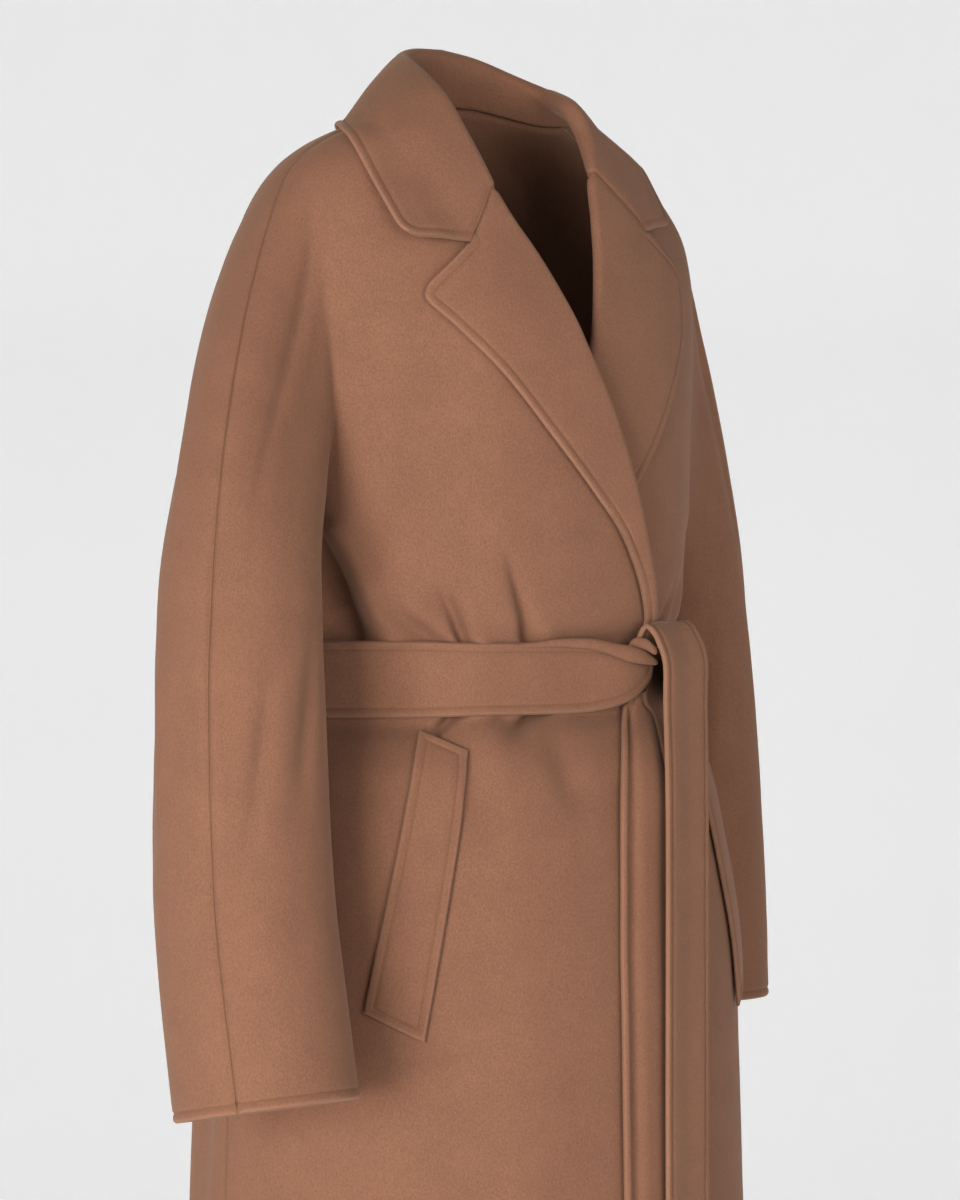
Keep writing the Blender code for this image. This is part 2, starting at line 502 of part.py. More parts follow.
def armhole(side):
    """The armhole's front half and back half, each from the underarm to the shoulder: points, outward
    normals and how far along the half each point lies."""
    height, turn = columns(FRONT_OUTER)
    rows = front_rows()
    rows = rows[rows >= UNDERARM_ROW - 1e-9]
    back_turn, back_height = back_places()
    upper = back_rows() >= UNDERARM_ROW - 1e-9
    edge = 0 if side == RIGHT else -1
    halves = []
    for turns, heights in ((side * turn(rows), height(rows)),
                           (back_turn[upper, edge], back_height[upper, edge])):
        points = form(turns, heights)
        length = np.concatenate([[0], np.cumsum(np.linalg.norm(np.diff(points, axis=0), axis=1))])
        halves.append((points, outward(turns, heights), length / length[-1]))
    return halves


def sleeve_ring(side, height, angles):
    """One ring of the arm. An angle of 0 faces the body, 90 the front, 180 outwards, 270 the back."""
    x, y, across, along, tilt = (read(-height) for read in SLEEVE_READ[side])
    angle = np.radians(angles)
    inward = across * power(np.cos(angle), SLEEVE_POWER)
    forward = along * power(np.sin(angle), SLEEVE_POWER)
    lean = math.radians(float(tilt))
    return np.stack([x - side * inward, y - forward * math.cos(lean),
                     height + forward * math.sin(lean)], axis=-1)


def sleeve_read(table):
    """Columns of a sleeve's table, read by the distance below the shoulders."""
    turned = tuple(row._replace(height=-row.height) for row in table)
    return columns(turned)


SLEEVE_READ = {RIGHT: sleeve_read(RIGHT_SLEEVE), LEFT: sleeve_read(LEFT_SLEEVE)}


def sleeve_grids(side):
    """The front and the back half of a sleeve, from the armhole to the cuff, as two grids."""
    table = RIGHT_SLEEVE if side == RIGHT else LEFT_SLEEVE
    top, cuff = table[0].height, table[-1].height
    front_hole, back_hole = armhole(side)
    over = 180 - OVERARM_TWIST
    grids = []
    for (start, normals, share), low, high in ((front_hole, UNDERARM_TWIST, over),
                                               (back_hole, 360 + UNDERARM_TWIST, over)):
        turned = low % 360 - UNDERARM_TWIST * UNDERARM_START
        angles = low - turned + (high - low + turned) * share
        stop = sleeve_ring(side, top, angles)
        below = sleeve_ring(side, top - STRAIGHT_BELOW, angles)
        leave = stop - start
        smooth = (UNDERARM_SMOOTH + (1 - UNDERARM_SMOOTH) * ease(share * SMOOTH_BY))[:, None]
        leave = leave - normals * np.sum(leave * normals, axis=1, keepdims=True) * smooth
        size = np.linalg.norm(stop - start, axis=1, keepdims=True)
        leave = unit(leave) * size * CAP_FULLNESS
        arrive = unit(below - stop) * size
        rings = []
        for t in np.linspace(0, 1, CAP_RINGS):
            rings.append((1 + 2 * t) * (1 - t) ** 2 * start + t * (1 - t) ** 2 * leave
                         + t * t * (3 - 2 * t) * stop + t * t * (t - 1) * arrive)
        for t in np.linspace(0, 1, ARM_RINGS + 1)[1:]:
            settled = angles + turned * ease(t * UNDERARM_SETTLES) * (1 - share)
            rings.append(sleeve_ring(side, top + (cuff - top) * t, settled))
        grids.append(np.array(rings))
    return grids


def clear_of_body(side, points):
    """Points of the collar's leaf, with those too close to the body moved out from it."""
    turn, height = np.meshgrid(side * np.linspace(0, 180, 181), np.linspace(*UNDER_COLLAR, 84))
    body, normal = front_point(side, turn, height).reshape(-1, 3), outward(turn, height).reshape(-1, 3)
    moved = points.copy()
    for i, point in enumerate(points):
        near = np.argmin(np.sum((body - point) ** 2, axis=1))
        above = np.dot(point - body[near], normal[near])
        moved[i] += normal[near] * max(0.0, LEAF_LEAST - above)
    return moved


def fold_line(side, place):
    """The line along which the collar folds over."""
    return np.array([float(value(place)) for value in COLLAR_READ[side][:3]])


def collar_row(side, place):
    """One row of the collar, from the neckline up the stand, round the fold and down the leaf. At the gorge
    the stand has run out, so its points are blank, and the row runs along the lapel's top edge as far as
    the notch."""
    read = [float(value(place)) for value in COLLAR_READ[side]]
    fold, edge = np.array(read[:3]), np.array(read[3:])
    point, normal, onward = fold_frame(side, GORGE_ROW)
    start = fold_line(side, 0.0)
    settled = float(ease(place / FOLD_SETTLES))
    radius = COLLAR_FOLD_RADIUS * settled + ROLL_RADIUS[side] * (1 - settled)
    fold = fold + (point + (onward + normal) * ROLL_RADIUS[side] - start) * (1 - settled)
    foot, off_body = neckline(side, max(place, NECK_PLACES[1]))
    rise = unit(unit(fold - foot) * settled + onward * (1 - settled))
    out = np.cross(rise, fold_line(side, place + FOLD_STEP) - fold_line(side, place - FOLD_STEP))
    out = unit(out * np.sign(np.dot(out, off_body)))
    out = unit(out * settled + normal * (1 - settled))
    out = unit(out - rise * np.dot(out, rise))
    base = fold - (out + rise) * radius
    stand = foot + (base - foot) * np.linspace(0, 1, STAND_COLUMNS + 1)[:, None]
    if place < NECK_PLACES[1]:
        stand[:-1] = np.nan
    down = edge - base
    round_by = math.degrees(math.atan2(np.dot(down, out), np.dot(down, rise))) % 360
    turned = arc(base, out, rise, radius, 180 + (round_by - 180) * settled)
    across = np.linspace(0, 1, LAPEL_COLUMNS + 1)[1:]
    straight = turned[-1] + (edge - turned[-1]) * across[:, None]
    to_edge = unit(edge - turned[-1])
    crown_way = unit(out + rise - to_edge * np.dot(out + rise, to_edge))
    crown = COLLAR_LIFT * np.sin(np.pi * across ** CROWN_SHIFT)
    leaf = clear_of_body(side, straight + crown_way * crown[:, None])
    lapel = lapel_row(side, GORGE_ROW)[ARC_COLUMNS:]
    near = int(round(NOTCH_SHARE * LAPEL_COLUMNS))
    past = np.linspace(0, 1, LAPEL_COLUMNS - near + 1)[1:, None]
    from_notch = lapel[near - 1] + (edge - lapel[near - 1]) * past
    ending = np.concatenate([lapel[:near], clear_of_body(side, from_notch)])
    share = float(ease(place / LEAF_SETTLES))
    return np.concatenate([stand, turned, ending + (leaf - ending) * share])


def nape_height(place):
    """Height of the neckline at a place from the shoulder seam (1) to the centre back (2)."""
    shoulder, centre = INNER_TOP, NAPE_TOP
    return shoulder + (centre - shoulder) * float(ease((place - 1) * NAPE_RISES))


def neckline(side, place):
    """The seam where the collar's stand meets the body, at a place of the collar: the point and the body's
    outward normal there."""
    if place > 1:
        turn, height = side * 90 * place, nape_height(place)
        return form(turn, height), outward(turn, height)
    row = GORGE_ROW + (1 - GORGE_ROW) * place
    inner_height, inner_x = inner_edge(side)
    height = inner_height(row)
    turn = turn_at(inner_x(row), height)
    return front_point(side, turn, height), outward(turn, height)


COLLAR_READ = {RIGHT: columns(RIGHT_COLLAR), LEFT: columns(LEFT_COLLAR)}


def collar_grid():
    places = NECK_PLACES + NAPE_PLACES
    right = [collar_row(RIGHT, place) for place in places]
    left = [collar_row(LEFT, place) for place in places[:-1]]
    return np.array(right + left[::-1])


def welt_grid(side):
    """The pocket's welt, on points of the front under it."""
    corner = {name: np.array([side * turn, height]) for name, (turn, height) in WELT_CORNERS.items()}
    down = np.linspace(0, 1, WELT_ROWS)[:, None, None]
    across = np.linspace(0, 1, WELT_COLUMNS)[None, :, None]
    outer = corner["low_outer"] + (corner["top_outer"] - corner["low_outer"]) * down
    inner = corner["low_inner"] + (corner["top_inner"] - corner["low_inner"]) * down
    at = outer + (inner - outer) * across
    return front_point(side, at[..., 0], at[..., 1], WELT_LIFT + CLOTH)


def band_grid():
    """The belt's band, upright on the body, from the knot round to the knot."""
    turn, width_share, rise, lift = columns(BAND)
    place = np.concatenate([np.linspace(0, 4, BAND_KNOT_ROWS)[:-1], np.linspace(4, 8, BAND_ROUND_ROWS),
                            np.linspace(8, 9, BAND_END_ROWS)[1:]])
    across = np.linspace(-0.5, 0.5, BELT_COLUMNS)[None, :]
    turns = turn(place)[:, None] + 0 * across
    height = BELT_HEIGHT + rise(place)[:, None] + BELT_WIDTH * width_share(place)[:, None] * across
    lifted = BELT_LIFT + lift(place)[:, None]
    over_right = front_point(RIGHT, turns, height, lifted)
    step = SKIRT_LIFT * ease((STEP_STARTS - turns) / STEP_TURN)
    over_left = form(turns, height, lifted + step)
    return np.where((turns < -180)[..., None], over_left, over_right)


def end_grid(table, rows):
    """A hanging end of the belt, across its width at each row."""
    height, left_x, left_y, width, yaw, right_rise = columns(table)
    place = np.linspace(0, table[-1].place, rows)[:, None]
    across = np.linspace(0, 1, BELT_COLUMNS)[None, :]
    angle = np.radians(yaw(place))
    return np.stack([left_x(place) + width(place) * np.cos(angle) * across,
                     left_y(place) + width(place) * np.sin(angle) * across,
                     height(place) + right_rise(place) * across], axis=-1)


def knot_piece(collection):
    """The crossing of the half knot: a flattened strand that leaves the band and goes in under the loop."""
    place = (Matrix.Translation(KNOT_MIDDLE) @ Matrix.Rotation(math.radians(KNOT_YAW), 4, "Z")
             @ Matrix.Rotation(math.radians(KNOT_SLOPE), 4, "Y") @ Matrix.Diagonal((*KNOT_HALF_SIZE, 1)))
    shape = bmesh.new()
    bmesh.ops.create_uvsphere(shape, u_segments=KNOT_SEGMENTS, v_segments=KNOT_RINGS, radius=1.0,
                              matrix=place)
    mesh = bpy.data.meshes.new("belt_knot")
    shape.to_mesh(mesh)
    shape.free()
    mesh.shade_smooth()
    knot = bpy.data.objects.new("belt_knot", mesh)
    knot.data.materials.append(material("belt_knot_wool", WOOL_COLOUR))
    collection.objects.link(knot)


def inset(grid, edges):
    """Moves the named edges of a grid inwards by the seam inset, square to each edge."""
    grid = grid.copy()
    ends = {"first_row": (np.s_[0], np.s_[1]), "last_row": (np.s_[-1], np.s_[-2]),
            "first_column": (np.s_[:, 0], np.s_[:, 1]), "last_column": (np.s_[:, -1], np.s_[:, -2])}
    gorge = int(np.argmin(np.abs(front_rows() - GORGE_ROW)))
    for name in edges:
        if name == "gorge_and_neckline":
            pairs = (((gorge, np.s_[FRONT_COLUMNS:]), (gorge - 1, np.s_[FRONT_COLUMNS:])),
                     ((np.s_[gorge:], FRONT_COLUMNS), (np.s_[gorge:], FRONT_COLUMNS - 1)))
        else:
            pairs = (ends[name],)
        for edge, beside in pairs:
            there = ~np.isnan(grid[edge][:, 0]) & ~np.isnan(grid[beside][:, 0])
            line = grid[edge][there]
            along, step = unit(np.gradient(line, axis=0)), grid[beside][there] - line
            step -= along * np.sum(step * along, axis=1, keepdims=True)
            grid[edge][there] = line + unit(step) * SEAM_INSET
    return grid


def material(name, colour):
    made = bpy.data.materials.new(name)
    made.use_nodes = True
    shader = made.node_tree.nodes["Principled BSDF"]
    shader.inputs["Base Color"].default_value = (*colour, 1)
    shader.inputs["Roughness"].default_value = 0.95
    shader.inputs["Metallic"].default_value = 0.0
    return made


# A piece of cloth: the grid of its outer face, which edges are seams, whether the grid runs the other way
# round, and how thick the cloth is.
Cloth = namedtuple("Cloth", "name grid seams flip thickness")


def triangles(grid, flip):
    """The triangles of a grid, as rows of three places in its list of points, and the points."""
    there = ~np.isnan(grid[:, :, 0])
    number = np.cumsum(there.ravel()).reshape(there.shape) - 1
    faces = []
    for i in range(grid.shape[0] - 1):
        for j in range(grid.shape[1] - 1):
            cell = [(i, j), (i, j + 1), (i + 1, j + 1), (i + 1, j)]
            if not all(there[c] for c in cell):
                continue
            a, b, c, d = (int(number[c]) for c in cell)
            pa, pb, pc, pd = (grid[c] for c in cell)
            shorter = np.linalg.norm(pa - pc) <= np.linalg.norm(pb - pd)
            pair = [(a, b, c), (a, c, d)] if shorter else [(a, b, d), (b, c, d)]
            faces += [face[::-1] if flip else face for face in pair]
    return np.array(faces), grid[there]


def point_normals(points, faces):
    """Normals at the points, from the faces round each, and by area."""
    corners = points[faces]
    crossed = np.cross(corners[:, 1] - corners[:, 0], corners[:, 2] - corners[:, 0])
    total = np.zeros_like(points)
    for k in range(3):
        np.add.at(total, faces[:, k], crossed)
    return unit(total)


def rim(faces):
    """The edges that only one face has, in that face's direction."""
    edges = {}
    for face in faces:
        for k in range(3):
            a, b = int(face[k]), int(face[(k + 1) % 3])
            if (b, a) in edges:
                del edges[(b, a)]
            else:
                edges[(a, b)] = True
    return list(edges)


def seam_normals(cloths, meshes):
    """For each mesh, the normal at each point. Where pieces of the body or of a sleeve meet, they take the
    mean of their normals, so that no piece's thickness leans over another's. The body and a sleeve share
    theirs too, but not in the sharp valley at the underarm."""
    normals = [point_normals(points, faces) for faces, points in meshes]
    every_point = np.concatenate([points for _, points in meshes])
    every_normal = np.concatenate(normals)
    of_sleeve = np.repeat(["sleeve" in cloth.name for cloth in cloths], [len(points) for _, points in meshes])
    tree = kdtree.KDTree(len(every_point))
    for i, point in enumerate(every_point):
        tree.insert(point, i)
    tree.balance()
    shared = np.zeros_like(every_normal)
    for k, point in enumerate(every_point):
        near = np.array([i for _, i, _ in tree.find_range(point, SAME_PLACE)])
        alike = of_sleeve[near] == of_sleeve[k]
        mine, others = every_normal[near[alike]].sum(axis=0), every_normal[near[~alike]].sum(axis=0)
        shared[k] = mine + others * (np.dot(unit(mine), unit(others)) > SHARED_LEAST)
    return np.split(unit(shared), np.cumsum([len(points) for _, points in meshes])[:-1])


def walls(points, faces):
    """The walls round the rim, between the outer points and the inner ones that follow them. Both pieces
    at a seam split each wall along the same diagonal."""
    count = len(points)
    made = []
    for a, b in rim(faces):
        if np.dot(points[b] - points[a], DIAGONAL_WAY) > 0:
            made += [(b, a, b + count), (a, a + count, b + count)]
        else:
            made += [(b, a, a + count), (b, a + count, b + count)]
    return made


def cloth_objects(cloths, collection):
    """Makes the pieces, each as its outer face, its inner face and the walls round its rim."""
    meshes = [triangles(cloth.grid, cloth.flip) for cloth in cloths]
    for cloth, (faces, points), normal in zip(cloths, meshes, seam_normals(cloths, meshes)):
        outer = triangles(inset(cloth.grid, cloth.seams), cloth.flip)[1]
        inner = outer - normal * cloth.thickness
        mesh = bpy.data.meshes.new(cloth.name)
        mesh.from_pydata(np.concatenate([outer, inner]).tolist(), [],
                         faces.tolist() + (faces[:, ::-1] + len(points)).tolist() + walls(points, faces))
        mesh.validate()
        mesh.shade_smooth()
        piece = bpy.data.objects.new(cloth.name, mesh)
        piece.data.materials.append(material(cloth.name + "_wool", WOOL_COLOUR))
        collection.objects.link(piece)


def clear_scene():
    for thing in list(bpy.data.objects):
        bpy.data.objects.remove(thing, do_unlink=True)


def main():
    clear_scene()
    coat = bpy.data.collections.new("wool_wrap_coat")
    bpy.context.scene.collection.children.link(coat)

    ends = ("first_column", "last_column")
    cloths = [Cloth("back", back_grid(), ends + ("last_row",), True, CLOTH),
              Cloth("collar", collar_grid(), ("first_column", "first_row", "last_row"), False, CLOTH)]
    for side, label in ((RIGHT, "right"), (LEFT, "left")):
        is_left = side == LEFT
        front_seams = ("first_column", "last_row", "gorge_and_neckline")
        cloths.append(Cloth(f"front_{label}", front_grid(side), front_seams, is_left, CLOTH))
        front_half, back_half = sleeve_grids(side)
        cloths.append(Cloth(f"sleeve_{label}_front", front_half, ends + ("first_row",), is_left, CLOTH))
        cloths.append(Cloth(f"sleeve_{label}_back", back_half, ends + ("first_row",), not is_left, CLOTH))
        cloths.append(Cloth(f"pocket_welt_{label}", welt_grid(side), (), is_left, CLOTH))
    cloths.append(Cloth("belt_band", band_grid(), (), False, BELT_CLOTH))
    cloths.append(Cloth("belt_end_front", end_grid(END_FRONT, END_FRONT_ROWS), (), True, BELT_CLOTH))
    cloths.append(Cloth("belt_end_under", end_grid(END_UNDER, END_UNDER_ROWS), (), True, BELT_CLOTH))
    cloth_objects(cloths, coat)
    knot_piece(coat)


main()
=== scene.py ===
"""Wool wrap coat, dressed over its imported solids.

Metres, +Z up. The coat faces -Y and the wearer's right is -X. The origin is midway between the two points
where the shoulder seams meet the collar, because the shoulders carry the coat.

Each cut piece is a fine grid of the cloth's outer face. The body and sleeve pieces are welded, so that one
normal holds across each seam, then split again and given their thickness, rounded edges and sewing.
"""

from __future__ import annotations

from collections.abc import Callable, Sequence
from dataclasses import dataclass, field
from enum import Enum, IntEnum
import logging
import math
from typing import NamedTuple

import bpy
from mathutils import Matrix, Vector, kdtree, noise
import numpy as np


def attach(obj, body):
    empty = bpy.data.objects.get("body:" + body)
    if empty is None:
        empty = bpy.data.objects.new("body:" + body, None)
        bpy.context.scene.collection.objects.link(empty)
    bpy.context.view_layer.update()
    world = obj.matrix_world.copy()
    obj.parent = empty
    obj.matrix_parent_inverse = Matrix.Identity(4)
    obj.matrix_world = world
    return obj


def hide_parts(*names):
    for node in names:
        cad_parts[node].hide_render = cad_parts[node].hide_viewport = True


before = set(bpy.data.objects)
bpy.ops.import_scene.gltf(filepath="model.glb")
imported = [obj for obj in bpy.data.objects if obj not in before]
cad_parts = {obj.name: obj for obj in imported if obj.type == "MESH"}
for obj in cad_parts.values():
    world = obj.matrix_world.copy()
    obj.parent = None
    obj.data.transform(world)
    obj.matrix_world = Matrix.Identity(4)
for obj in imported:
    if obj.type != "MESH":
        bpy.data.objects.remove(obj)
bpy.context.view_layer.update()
LOG = logging.getLogger("wrap_coat")

CLOTH = 0.0026            # one thickness of double-faced wool
BELT_CLOTH = 0.0034       # the belt, with both long edges turned in


class Side(IntEnum):
    """The wearer's sides, as the sign of X."""

    RIGHT = -1
    LEFT = 1


class Section(NamedTuple):
    """The body's outline, cut level."""

    height: float
    half_width: float
    front_depth: float
    back_depth: float
    centre_y: float


class Fold(NamedTuple):
    """A soft fold, deepest half-way from start to stop and moved out by its depth, at a turn in degrees that
    shifts by lean on the way. On the body the turn is from the centre front, and start and stop are heights.
    On a sleeve the turn is round the arm, and they run from the armhole (0) past the cap (1) to the cuff (2).
    """

    turn: float
    lean: float
    half_width: float
    depth: float
    start: float
    stop: float


class OuterEdge(NamedTuple):
    """A panel's outer edge: the side seam, then the armhole."""

    row: float
    height: float
    turn: float


class FrontEdge(NamedTuple):
    """A front's inner edge, which is front edge, roll line and neckline, or its lapel's outer edge."""

    row: float
    height: float
    x: float


class CollarPlace(NamedTuple):
    """The collar's fold and edge, from the gorge (0) past the shoulder (1) to the centre back (2)."""

    place: float
    fold_x: float
    fold_y: float
    fold_z: float
    edge_x: float
    edge_y: float
    edge_z: float


class SleeveRing(NamedTuple):
    """A ring square to the arm."""

    height: float
    x: float
    y: float
    across: float
    along: float
    tilt: float


class BandPlace(NamedTuple):
    """The belt's band at a place on its way round."""

    place: float
    turn: float
    width_share: float
    rise: float
    lift: float


class EndPlace(NamedTuple):
    """A hanging end's left edge, width, turn to the back, and how much higher its right edge is."""

    place: float
    height: float
    left_x: float
    left_y: float
    width: float
    yaw: float
    right_rise: float


class StrandPlace(NamedTuple):
    """A place along a strand of the knot: its middle, half its height and half its thickness."""

    place: float
    x: float
    y: float
    z: float
    half_up: float
    half_through: float


def rows_of(kind: Callable[..., tuple], *rows: tuple) -> tuple:
    """A table's rows, each with the kind's named columns."""
    return tuple(kind(*row) for row in rows)


SECTIONS = rows_of(
    Section, (-1.15, 0.227, 0.178, 0.158, 0), (-0.95, 0.222, 0.176, 0.148, 0), (-0.8, 0.217, 0.173, 0.14, 0),
    (-0.62, 0.212, 0.168, 0.138, 0), (-0.549, 0.204, 0.16, 0.134, 0), (-0.481, 0.192, 0.147, 0.124, 0),
    (-0.457, 0.179, 0.132, 0.115, 0), (-0.441, 0.1665, 0.1185, 0.108, 0), (-0.412, 0.165, 0.117, 0.107, 0),
    (-0.384, 0.1665, 0.1185, 0.108, 0), (-0.367, 0.1725, 0.126, 0.112, 0), (-0.345, 0.1765, 0.13, 0.116, 0),
    (-0.3, 0.18, 0.132, 0.12, 0), (-0.24, 0.183, 0.13, 0.124, 0), (-0.18, 0.188, 0.123, 0.125, -0.002),
    (-0.131, 0.192, 0.11, 0.119, -0.005), (-0.1, 0.19, 0.098, 0.112, -0.008),
    (-0.083, 0.185, 0.09, 0.107, -0.011), (-0.065, 0.176, 0.08, 0.098, -0.014),
    (-0.051, 0.164, 0.073, 0.09, -0.016), (-0.038, 0.146, 0.066, 0.083, -0.018),
    (-0.0225, 0.113, 0.058, 0.074, -0.019), (-0.0065, 0.078, 0.05, 0.062, -0.019),
    (0.0065, 0.062, 0.045, 0.053, -0.019))
FOLDS = rows_of(
    Fold, (-62, 16, 9, -0.005, -0.385, -0.285), (-47, 14, 7, 0.0035, -0.385, -0.27),
    (60, -16, 9, -0.0045, -0.385, -0.285), (-36, -6, 4, -0.004, -0.392, -0.33),
    (-14, -8, 4, -0.0035, -0.392, -0.32), (44, 6, 4, -0.004, -0.392, -0.325),
    (-29, -4, 4, -0.005, -0.53, -0.438), (-8, -3, 4, -0.0045, -0.52, -0.438),
    (52, 4, 5, -0.005, -0.56, -0.438), (-104, 3, 9, -0.008, -0.9, -0.445), (104, -3, 9, -0.008, -0.9, -0.445),
    (-150, 3, 9, -0.009, -1.4, -0.445), (-128, 4, 10, 0.006, -1.5, -0.47),
    (146, -3, 10, -0.009, -1.4, -0.445), (124, -4, 10, 0.006, -1.5, -0.47),
    (-140, 6, 7, -0.006, -0.392, -0.25), (136, -6, 7, -0.006, -0.392, -0.24),
    (-168, 4, 6, -0.005, -0.392, -0.3), (80, -5, 14, 0.006, -1.5, -0.56), (24, 0, 9, -0.005, -1.6, -0.7),
    (-66, 2, 10, -0.004, -1.6, -0.76), (44, 0, 15, -0.0075, -0.13, -0.004),
    (84, 0, 26, -0.0085, -0.096, 0.002))
CREASES = rows_of(
    Fold, (-30.5, -16, 1.5, -0.0105, -0.438, -0.334), (-26, -16, 2.8, 0.0034, -0.43, -0.34),
    (-14.5, -17, 1.5, -0.0095, -0.45, -0.31), (-10, -17, 3, 0.003, -0.43, -0.32),
    (-38, -45, 3.6, -0.005, -0.43, -0.345), (-33, -40, 4, 0.0024, -0.42, -0.345),
    (-30.5, 24, 2.2, -0.014, -0.462, -0.4), (-10, 26, 2.8, -0.014, -0.466, -0.4),
    (-20.5, 2, 3, -0.004, -0.462, -0.4), (-58, -33, 4, 0.0065, -0.425, -0.27),
    (-70.5, -33, 6.5, -0.026, -0.445, -0.255), (-88, 6, 7, -0.003, -0.72, -0.43),
    (70, 30, 6, -0.012, -0.44, -0.262), (33, 12, 2.6, -0.0065, -0.44, -0.33),
    (47, -8, 2.6, -0.007, -0.48, -0.395), (112, 8, 6, 0.003, -0.394, -0.29),
    (172, 6, 3, -0.0065, -0.44, -0.29), (152, -6, 3.2, -0.006, -0.44, -0.3),
    (-158, 5, 3.2, -0.006, -0.44, -0.31), (-172, -4, 2.6, -0.0065, -0.49, -0.395),
    (165, 5, 2.6, -0.0065, -0.485, -0.395), (-125, -4, 3, -0.006, -0.5, -0.395),
    (128, 5, 3, -0.006, -0.495, -0.395), (160, -5, 8, 0.0036, -0.9, -0.445))
UNDERARM_ROW = 0.545
SIDE_SEAM = rows_of(
    OuterEdge, (0, -1.15, 90), (0.22, -0.75, 90), (0.36, -0.5, 90), (0.385, -0.457, 90), (0.4, -0.441, 90),
    (0.415, -0.412, 90), (0.43, -0.386, 90), (0.462, -0.37, 90), (0.5, -0.345, 90),
    (UNDERARM_ROW, -0.315, 90))
FRONT_OUTER = SIDE_SEAM + rows_of(
    OuterEdge, (0.6, -0.292, 75), (0.67, -0.25, 67), (0.76, -0.2, 64), (0.85, -0.138, 64), (0.93, -0.087, 70),
    (0.97, -0.0705, 79), (1, -0.065, 90))
BACK_OUTER = SIDE_SEAM + rows_of(
    OuterEdge, (0.6, -0.292, 105), (0.67, -0.25, 113), (0.76, -0.2, 118), (0.85, -0.138, 118),
    (0.93, -0.087, 112), (0.97, -0.0705, 102), (1, -0.065, 90))
FOLDED_ROW, GORGE_ROW = 0.430, 0.900
RIGHT_INNER = rows_of(
    FrontEdge, (0, -1.15, 0.074), (0.36, -0.5, 0.066), (0.385, -0.457, 0.066), (0.4, -0.441, 0.066),
    (0.415, -0.412, 0.066), (FOLDED_ROW, -0.386, 0.0645), (0.462, -0.37, 0.0615), (0.5, -0.35, 0.0525),
    (UNDERARM_ROW, -0.315, 0.04), (0.6, -0.28, 0.029), (0.67, -0.235, 0.0127), (0.76, -0.184, -0.0115),
    (0.85, -0.125, -0.0382), (GORGE_ROW, -0.077, -0.0637), (0.94, -0.042, -0.072), (0.97, -0.023, -0.075),
    (0.985, -0.0125, -0.0765), (1, -0.0065, -0.078))
LEFT_INNER = rows_of(
    FrontEdge, (0, -1.15, -0.074), (0.36, -0.5, -0.066), (0.385, -0.457, -0.064), (0.4, -0.441, -0.063),
    (0.415, -0.412, -0.062), (FOLDED_ROW, -0.386, -0.06), (0.462, -0.37, -0.058), (0.5, -0.35, -0.053),
    (UNDERARM_ROW, -0.315, -0.043), (0.6, -0.28, -0.033), (0.67, -0.235, -0.015), (0.76, -0.182, 0.0119),
    (0.85, -0.118, 0.0292), (GORGE_ROW, -0.054, 0.0443), (0.94, -0.034, 0.064), (0.97, -0.02, 0.073),
    (0.985, -0.0125, 0.0765), (1, -0.0065, 0.078))
RIGHT_LAPEL = rows_of(
    FrontEdge, (FOLDED_ROW, -0.388, 0.056), (0.462, -0.371, 0.0522), (0.5, -0.35, 0.042),
    (UNDERARM_ROW, -0.312, 0.0195), (0.6, -0.284, -0.0058), (0.67, -0.249, -0.0372), (0.76, -0.208, -0.0714),
    (0.85, -0.17, -0.1047), (0.885, -0.152, -0.1204), (GORGE_ROW, -0.147, -0.1214))
LEFT_LAPEL = rows_of(
    FrontEdge, (FOLDED_ROW, -0.388, -0.051), (0.462, -0.372, -0.046), (0.5, -0.355, -0.035),
    (UNDERARM_ROW, -0.328, -0.008), (0.6, -0.3, 0.022), (0.67, -0.262, 0.0605), (0.76, -0.207, 0.0982),
    (0.85, -0.155, 0.1209), (0.885, -0.132, 0.1236), (GORGE_ROW, -0.115, 0.1215))
RIGHT_COLLAR = rows_of(
    CollarPlace, (0, -0.0655, -0.098, -0.074, -0.137, -0.096, -0.114),
    (0.15, -0.0655, -0.0965, -0.0615, -0.144, -0.086, -0.094),
    (0.45, -0.0728, -0.0825, -0.0305, -0.144, -0.062, -0.06),
    (0.75, -0.0765, -0.065, -0.0055, -0.138, -0.034, -0.038),
    (1, -0.0641, -0.016, 0.0245, -0.12, -0.005, -0.029), (1.35, -0.048, 0.01, 0.0345, -0.078, 0.038, -0.03),
    (1.7, -0.024, 0.025, 0.0425, -0.044, 0.062, -0.03), (2, 0.001, 0.029, 0.045, 0, 0.071, -0.03))
LEFT_COLLAR = rows_of(
    CollarPlace, (0, 0.044, -0.085, -0.053, 0.13, -0.076, -0.084),
    (0.2, 0.0465, -0.08, -0.038, 0.133, -0.066, -0.073),
    (0.45, 0.0533, -0.069, -0.0235, 0.125, -0.052, -0.059), (0.75, 0.0537, -0.053, 0, 0.11, -0.03, -0.039),
    (1, 0.065, -0.012, 0.0175, 0.098, -0.004, -0.029), (1.35, 0.049, 0.013, 0.0325, 0.076, 0.034, -0.031),
    (1.7, 0.0255, 0.025, 0.042, 0.046, 0.062, -0.029), (2, 0.001, 0.029, 0.045, 0, 0.071, -0.03))
RIGHT_SLEEVE = rows_of(
    SleeveRing, (-0.36, -0.253, -0.07, 0.053, 0.0535, 5), (-0.41, -0.2585, -0.0765, 0.055, 0.0555, 6),
    (-0.457, -0.262, -0.082, 0.056, 0.057, 7), (-0.51, -0.265, -0.088, 0.057, 0.058, 8),
    (-0.565, -0.267, -0.0955, 0.058, 0.059, 10), (-0.63, -0.2685, -0.1095, 0.0585, 0.06, 12),
    (-0.688, -0.269, -0.122, 0.0585, 0.0605, 12))
